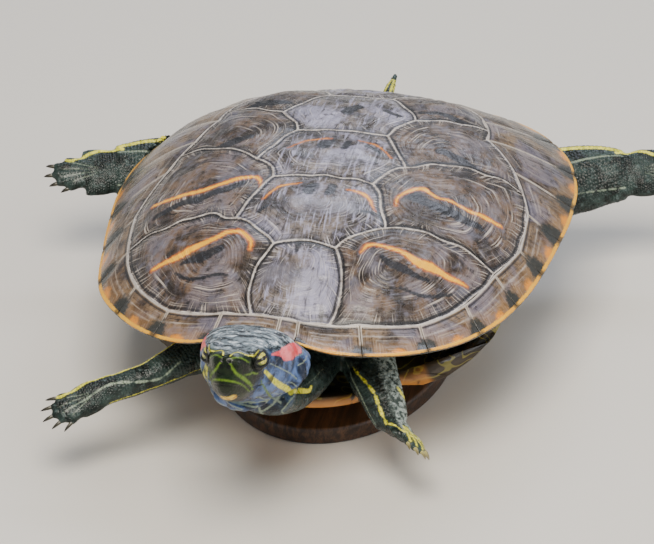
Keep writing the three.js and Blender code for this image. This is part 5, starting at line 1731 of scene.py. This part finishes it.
wet.paint(wet.tones(motes, 0.35, 0.6, "#b7b82a", "#f1ea55"), wet.torn(yellow, 0.9), 0.35, -0.35)
wet.paint(wet.tones(motes, 0.4, 0.6, "#c9972e", "#e6c84c"), wet.torn(chin, 1.4), 0.6, -0.6)
wet.paint(wet.tones(clouds, 0.3, 0.7, "#d23a45", "#f4868d"), wet.torn(red, 0.9), 0.4, -0.4)
# painted shade: dark round the lids' edges, where they roll over the eye
wet.paint("#0b0e0c", lid, 1.95, 1.35, 0, 0.85)
# painted shade: dark in the mouth groove and the nostril pits
wet.paint("#0b0e0a", lip, 0.7, 0.25, 0, 0.9)
relief = wet.times(grain, wet.ramp(scaly, 0.2, 0.8, 0.4, 1.0))
film = {"coat": 0.15, "coat_roughness": 0.05, "specular": 0.24}
wet_skin = wet.finish(wet.ramp(motes, 0.3, 0.7, 0.24, 0.42), [(relief, 0.0005), (motes, 0.0002)], **film)
limbs = [name.replace("leg", part) for name in LEGS for part in ("leg", "foot")]
hand_over(skin, wet_skin, "skin", "head", "lower_jaw", "neck", "trunk", "tail", *limbs)

# %% [markdown]
# ## Scales
# The legs and the tail wear small, flat scales in staggered rows. One scale is modelled once: a
# low-sided sphere, flattened and sunk half way in. Its corners are then copied to every place of a
# lattice wound round each limb, and each copy is turned to the skin below it and tipped up a little
# at its free end. They are real mesh, as a bump alone would leave the limb's outline smooth.

# %% One scale
SCALE_SIDES = 8
SCALE_HEIGHT = 0.24
SCALE_SINK = 0.12
SCALE_TIP = 0.1  # how far the free end lifts off, as a share of the scale's length
ROW_STEP = 0.84  # of a scale's width, so the rows overlap a little
PATCH = 0.003  # width of one scale's place on the bake map


def unit_sphere(segments, ring_count):
    bpy.ops.object.select_all(action="DESELECT")
    bpy.ops.mesh.primitive_uv_sphere_add(segments=segments, ring_count=ring_count, radius=1)
    ball = bpy.context.object
    return ball, read(ball.data.vertices, "co", 3)


model, SCALE_FORM = unit_sphere(SCALE_SIDES, 4)
SCALE_FORM[:, :2] *= np.where(np.abs(SCALE_FORM[:, 2:]) < 0.9, 1.15, 1)
SCALE_FACES = [list(face.vertices) for face in model.data.polygons]
bpy.data.objects.remove(model)
print("corners of one scale:", len(SCALE_FORM), "faces:", len(SCALE_FACES))

# %% Lattices of scales


def limb_lattice(name, start, end, pitch):
    """Staggered places near a limb's surface, the way along it, and where they lie when unrolled."""
    middle, sideways, upward, wide, thick = axis_of(TUBES[name], FLAT[name], 160)
    length = travelled(middle)
    ahead = np.gradient(middle, axis=0)
    turn = np.linspace(0, 2 * np.pi, 121)
    spots, ways, unrolled = [], [], []
    for row, place in enumerate(np.arange(start * length[-1], end * length[-1], ROW_STEP * pitch)):
        i = int(np.searchsorted(length, place).clip(0, len(middle) - 1))
        arc = travelled(np.stack([wide[i] * np.cos(turn), thick[i] * np.sin(turn)], -1))
        count = max(6, round(arc[-1] / pitch))
        shares = (np.arange(count) + 0.5 * (row % 2)) / count
        angle = np.interp(shares * arc[-1], arc, turn)[:, None]
        outward = sideways[i] * wide[i] * np.cos(angle) + upward[i] * thick[i] * np.sin(angle)
        spots.append(middle[i] + outward)
        ways.append(np.tile(ahead[i], (count, 1)))
        unrolled.append(np.stack([np.full(count, place / length[-1]), shares], -1))
    spots, ways, unrolled = (np.concatenate(part) for part in (spots, ways, unrolled))
    return spots, ways, unrolled, np.ones(len(spots))


def foot_lattice(foot, pitch):
    """The same for both sides of a foot's palm, and one row of broad scales down each toe."""
    spots, wide = [], []
    for side in (1, -1):
        for row, out in enumerate(np.arange(-0.8, 0.95, ROW_STEP * pitch / foot.palm) * foot.palm):
            across = np.arange(-foot.wrist, foot.wrist, pitch) + 0.5 * pitch * (row % 2)
            spots.extend((x, 0.35 * foot.palm + out, 3 * side) for x in across)
            wide.extend([1.0] * len(across))
        for turn, far in zip(foot.turns, foot.reach):
            out = np.arange(0.9 * foot.palm, far - 1, 1.5)
            spots.extend(foot.on_fan(turn, out, 2.6 * side))
            wide.extend([1.25] * len(out))
    spots = np.array(spots)
    unrolled = spots[:, :2] / [60, 90] + np.where(spots[:, 2:] > 0, [0.25, 0.3], [0.7, 0.3])
    return foot.stand(spots), np.tile(foot.basis[:, 1], (len(spots), 1)), unrolled, np.array(wide)


def lay_scales(name, pitch, spots, ways, unrolled, wide):
    """Copies the one scale to every spot on the skin that isn't deep inside the shell."""
    roots, up = on_skin(spots)
    near = np.linalg.norm(roots - spots, axis=1) < 3.5
    seen = near & ((reach_of(roots[:, 0], roots[:, 1]) > 0.8) | (roots[:, 2] < -BELLY_DEPTH))
    roots, up, ways, unrolled, wide = (part[seen] for part in (roots, up, ways, unrolled, wide))
    along = unit(ways - up * np.sum(ways * up, axis=1, keepdims=True))
    across = np.cross(along, up)
    rng = np.random.default_rng(len(roots))
    size = 0.5 * pitch * rng.uniform(0.88, 1.08, len(roots))
    x = SCALE_FORM[None, :, :1] * (1.08 * wide * size)[:, None, None]
    y = SCALE_FORM[None, :, 1:2] * (0.98 * size)[:, None, None]
    z = SCALE_FORM[None, :, 2:] * SCALE_HEIGHT - SCALE_SINK + SCALE_TIP * y
    corners = roots[:, None] + x * across[:, None] + y * along[:, None] + z * up[:, None]
    corners = corners.reshape(-1, 3)
    count, each = len(roots), len(SCALE_FORM)
    faces = [[corner + each * number for corner in face] for number in range(count) for face in SCALE_FACES]
    mesh = bpy.data.meshes.new(name)
    mesh.from_pydata(metres(corners).tolist(), [], faces)
    piece = bpy.data.objects.new(name, mesh)
    bpy.context.collection.objects.link(piece)
    write_uv(piece, "OFBake", unrolled[:, None] + SCALE_FORM[None, :, :2] * PATCH / 2)
    write_marks(piece, skin_marks(corners))
    select_only(piece)
    bpy.ops.object.shade_smooth()
    hand_over(piece, wet_skin, "skin")
    print(name, count, "scales")


# %% Lay the scales
SCALE_PITCH = {"foreleg": 1.7, "hindleg": 1.9, "tail": 1.5, "foot": 1.35}
for name in (*LEGS, "tail"):
    pitch = SCALE_PITCH[name.split("_")[0]]
    lay_scales(f"scales_{name}", pitch, *limb_lattice(name, 0.3 if name == "tail" else 0.35, 0.97, pitch))
pitch = SCALE_PITCH["foot"]
for name, foot in feet.items():
    lay_scales(f"scales_{name.replace('leg', 'foot')}", pitch, *foot_lattice(foot, pitch))

# %% [markdown]
# ## Eyes
# A turtle's eye is a ball with a clear bulge in front. The iris is yellow-green with a dark bar
# straight through the round pupil. The colours are rings of angle from the gaze, stored on the
# vertices, and the clear coat on top gives the wet point of light.

# %% Eyes
CORNEA, CORNEA_BULGE = 44, 0.12  # half angle in degrees, and rise in mm

glass = Recipe("Clear wet cornea")  # a smooth clear film over a coloured iris
from_gaze, bar = glass.marks("from_gaze", "bar")
spokes = glass.noise(2200, 2, 0.6)
glass.colour = glass.tones(spokes, 0.35, 0.65, "#8c8f2a", "#dcd25f")
glass.paint("#5f6b1e", from_gaze, 30, 38)
glass.paint("#120f0a", bar, 0.9, 0.55)
glass.paint("#030303", from_gaze, 13, 11)
glass.paint("#10130f", from_gaze, 44, 48)
eye_glass = glass.finish(0.3, coat=0.6, coat_roughness=0.05)

for word, side in SIDES.items():
    gaze, level = eye_frame(side)
    ball, pole = unit_sphere(72, 40)
    named(ball, f"eyeball_{word}")
    to_pole = np.array(Vector((0, 0, 1)).rotation_difference(Vector(gaze)).to_matrix())
    turned = pole @ to_pole.T
    off = np.degrees(np.arccos(np.clip(pole[:, 2], -1, 1)))
    bulge = EYE_RADIUS - CORNEA_BULGE + CORNEA_BULGE * smooth((CORNEA - off) / 20)
    move_to(ball, from_head(EYE * [side, 1, 1] + turned * bulge[:, None]))
    high = turned @ np.cross(gaze, level) - EYE_TILT * (turned @ level) * side
    write_marks(ball, {"from_gaze": off, "bar": np.abs(high) * EYE_RADIUS / math.hypot(1, EYE_TILT)})
    bpy.ops.object.shade_smooth()
    hand_over(ball, eye_glass, "eye", f"eye_{word}")
print("eyes: 2, radius", EYE_RADIUS, "mm")

# %% [markdown]
# ## Claws
# Each toe ends in a claw of hard horn: a cone that bends down a little. One hind toe has none.
# A foot's claws are tubes like the toes, joined into one piece.

# %% Claws
CLAW_OUT = np.array([0.42, 0.72, 0.9])  # shares of the claw's length
CLAW_DROP = np.array([-0.3, -0.35, -0.6, -1.1, -1.5])
CLAW_RADII = np.array([0.9, 1.0, 0.82, 0.5, 0.14]) * 0.42  # shares of the toe's radius


def claw_material(name, root, end):
    keratin = Recipe(name)  # dense keratin, clearer and paler at its root
    keratin.colour = keratin.tones(*keratin.marks("tip"), 0.1, 0.9, root, end)
    return keratin.finish(0.3, coat=0.3)


dark_claw = claw_material("Dark horn of the claws", "#45422f", "#211e16")
pale_claw = claw_material("Pale horn of the claws", "#cfc77e", "#6d6340")

for name, foot in feet.items():
    claws = []
    for turn, far in zip(foot.turns[: foot.clawed], foot.reach):
        line = foot.on_fan(turn, np.concatenate([[-2.2, 0], CLAW_OUT * foot.claw]) + far, CLAW_DROP)
        claw = foot.tube("claw", line, CLAW_RADII * foot.toe, 14, 14, 1.0)
        line = foot.stand(line)
        ahead = (line[-1] - line[0]) / np.sum((line[-1] - line[0]) ** 2)
        write_marks(claw, {"tip": clamp01((places(claw) - line[0]) @ ahead)})
        claws.append(claw)
    piece = joined(f"claws_{name.replace('leg', 'foot')}", claws)
    hand_over(piece, pale_claw if name == "foreleg_left" else dark_claw, "skin")
print("claws on", len(feet), "feet")

# %% [markdown]
# ## Floor, light and the end
# A pale, dull floor and a few large soft lamps keep the colours of the animal true. The big lamp
# behind draws the long highlight on the wet dome, and the one in front opens up the face. A studio
# lights glossy things in the same way: the gloss shows the shape of the lamps.

# %% Floor and light
bpy.ops.mesh.primitive_plane_add(size=6)
floor = bpy.context.object
floor.name = "floor"
paper = Recipe("Pale floor")  # dull card, which takes soft shadows and no gloss
paper.colour = "#d9d5cc"
floor.data.materials.append(paper.finish(0.9))
world = bpy.data.worlds.new("Soft room")
bpy.context.scene.world = world
world.use_nodes = True
background = world.node_tree.nodes["Background"].inputs
background[0].default_value = linear("#e8ecf2")
background[1].default_value = 0.47


def softbox(name, place, size, power, colour):
    bpy.ops.object.light_add(type="AREA", location=Vector(place))
    lamp = bpy.context.object
    lamp.name = name
    lamp.data.shape = "RECTANGLE"
    lamp.data.size, lamp.data.size_y = size
    lamp.data.energy = power
    lamp.data.color = linear(colour)[:3]
    aim = VIEW_TARGET - Vector(place)
    lamp.rotation_euler = aim.to_track_quat("-Z", "Y").to_euler()


softbox("key light", (0.1, -0.7, 1.3), (0.7, 0.7), 27, "#fff6ea")
softbox("sky light", (0.2, 1.3, 1.3), (1.3, 0.6), 17, "#e6edff")
softbox("side light", (1.4, -0.3, 0.7), (0.5, 0.9), 6, "#ffffff")
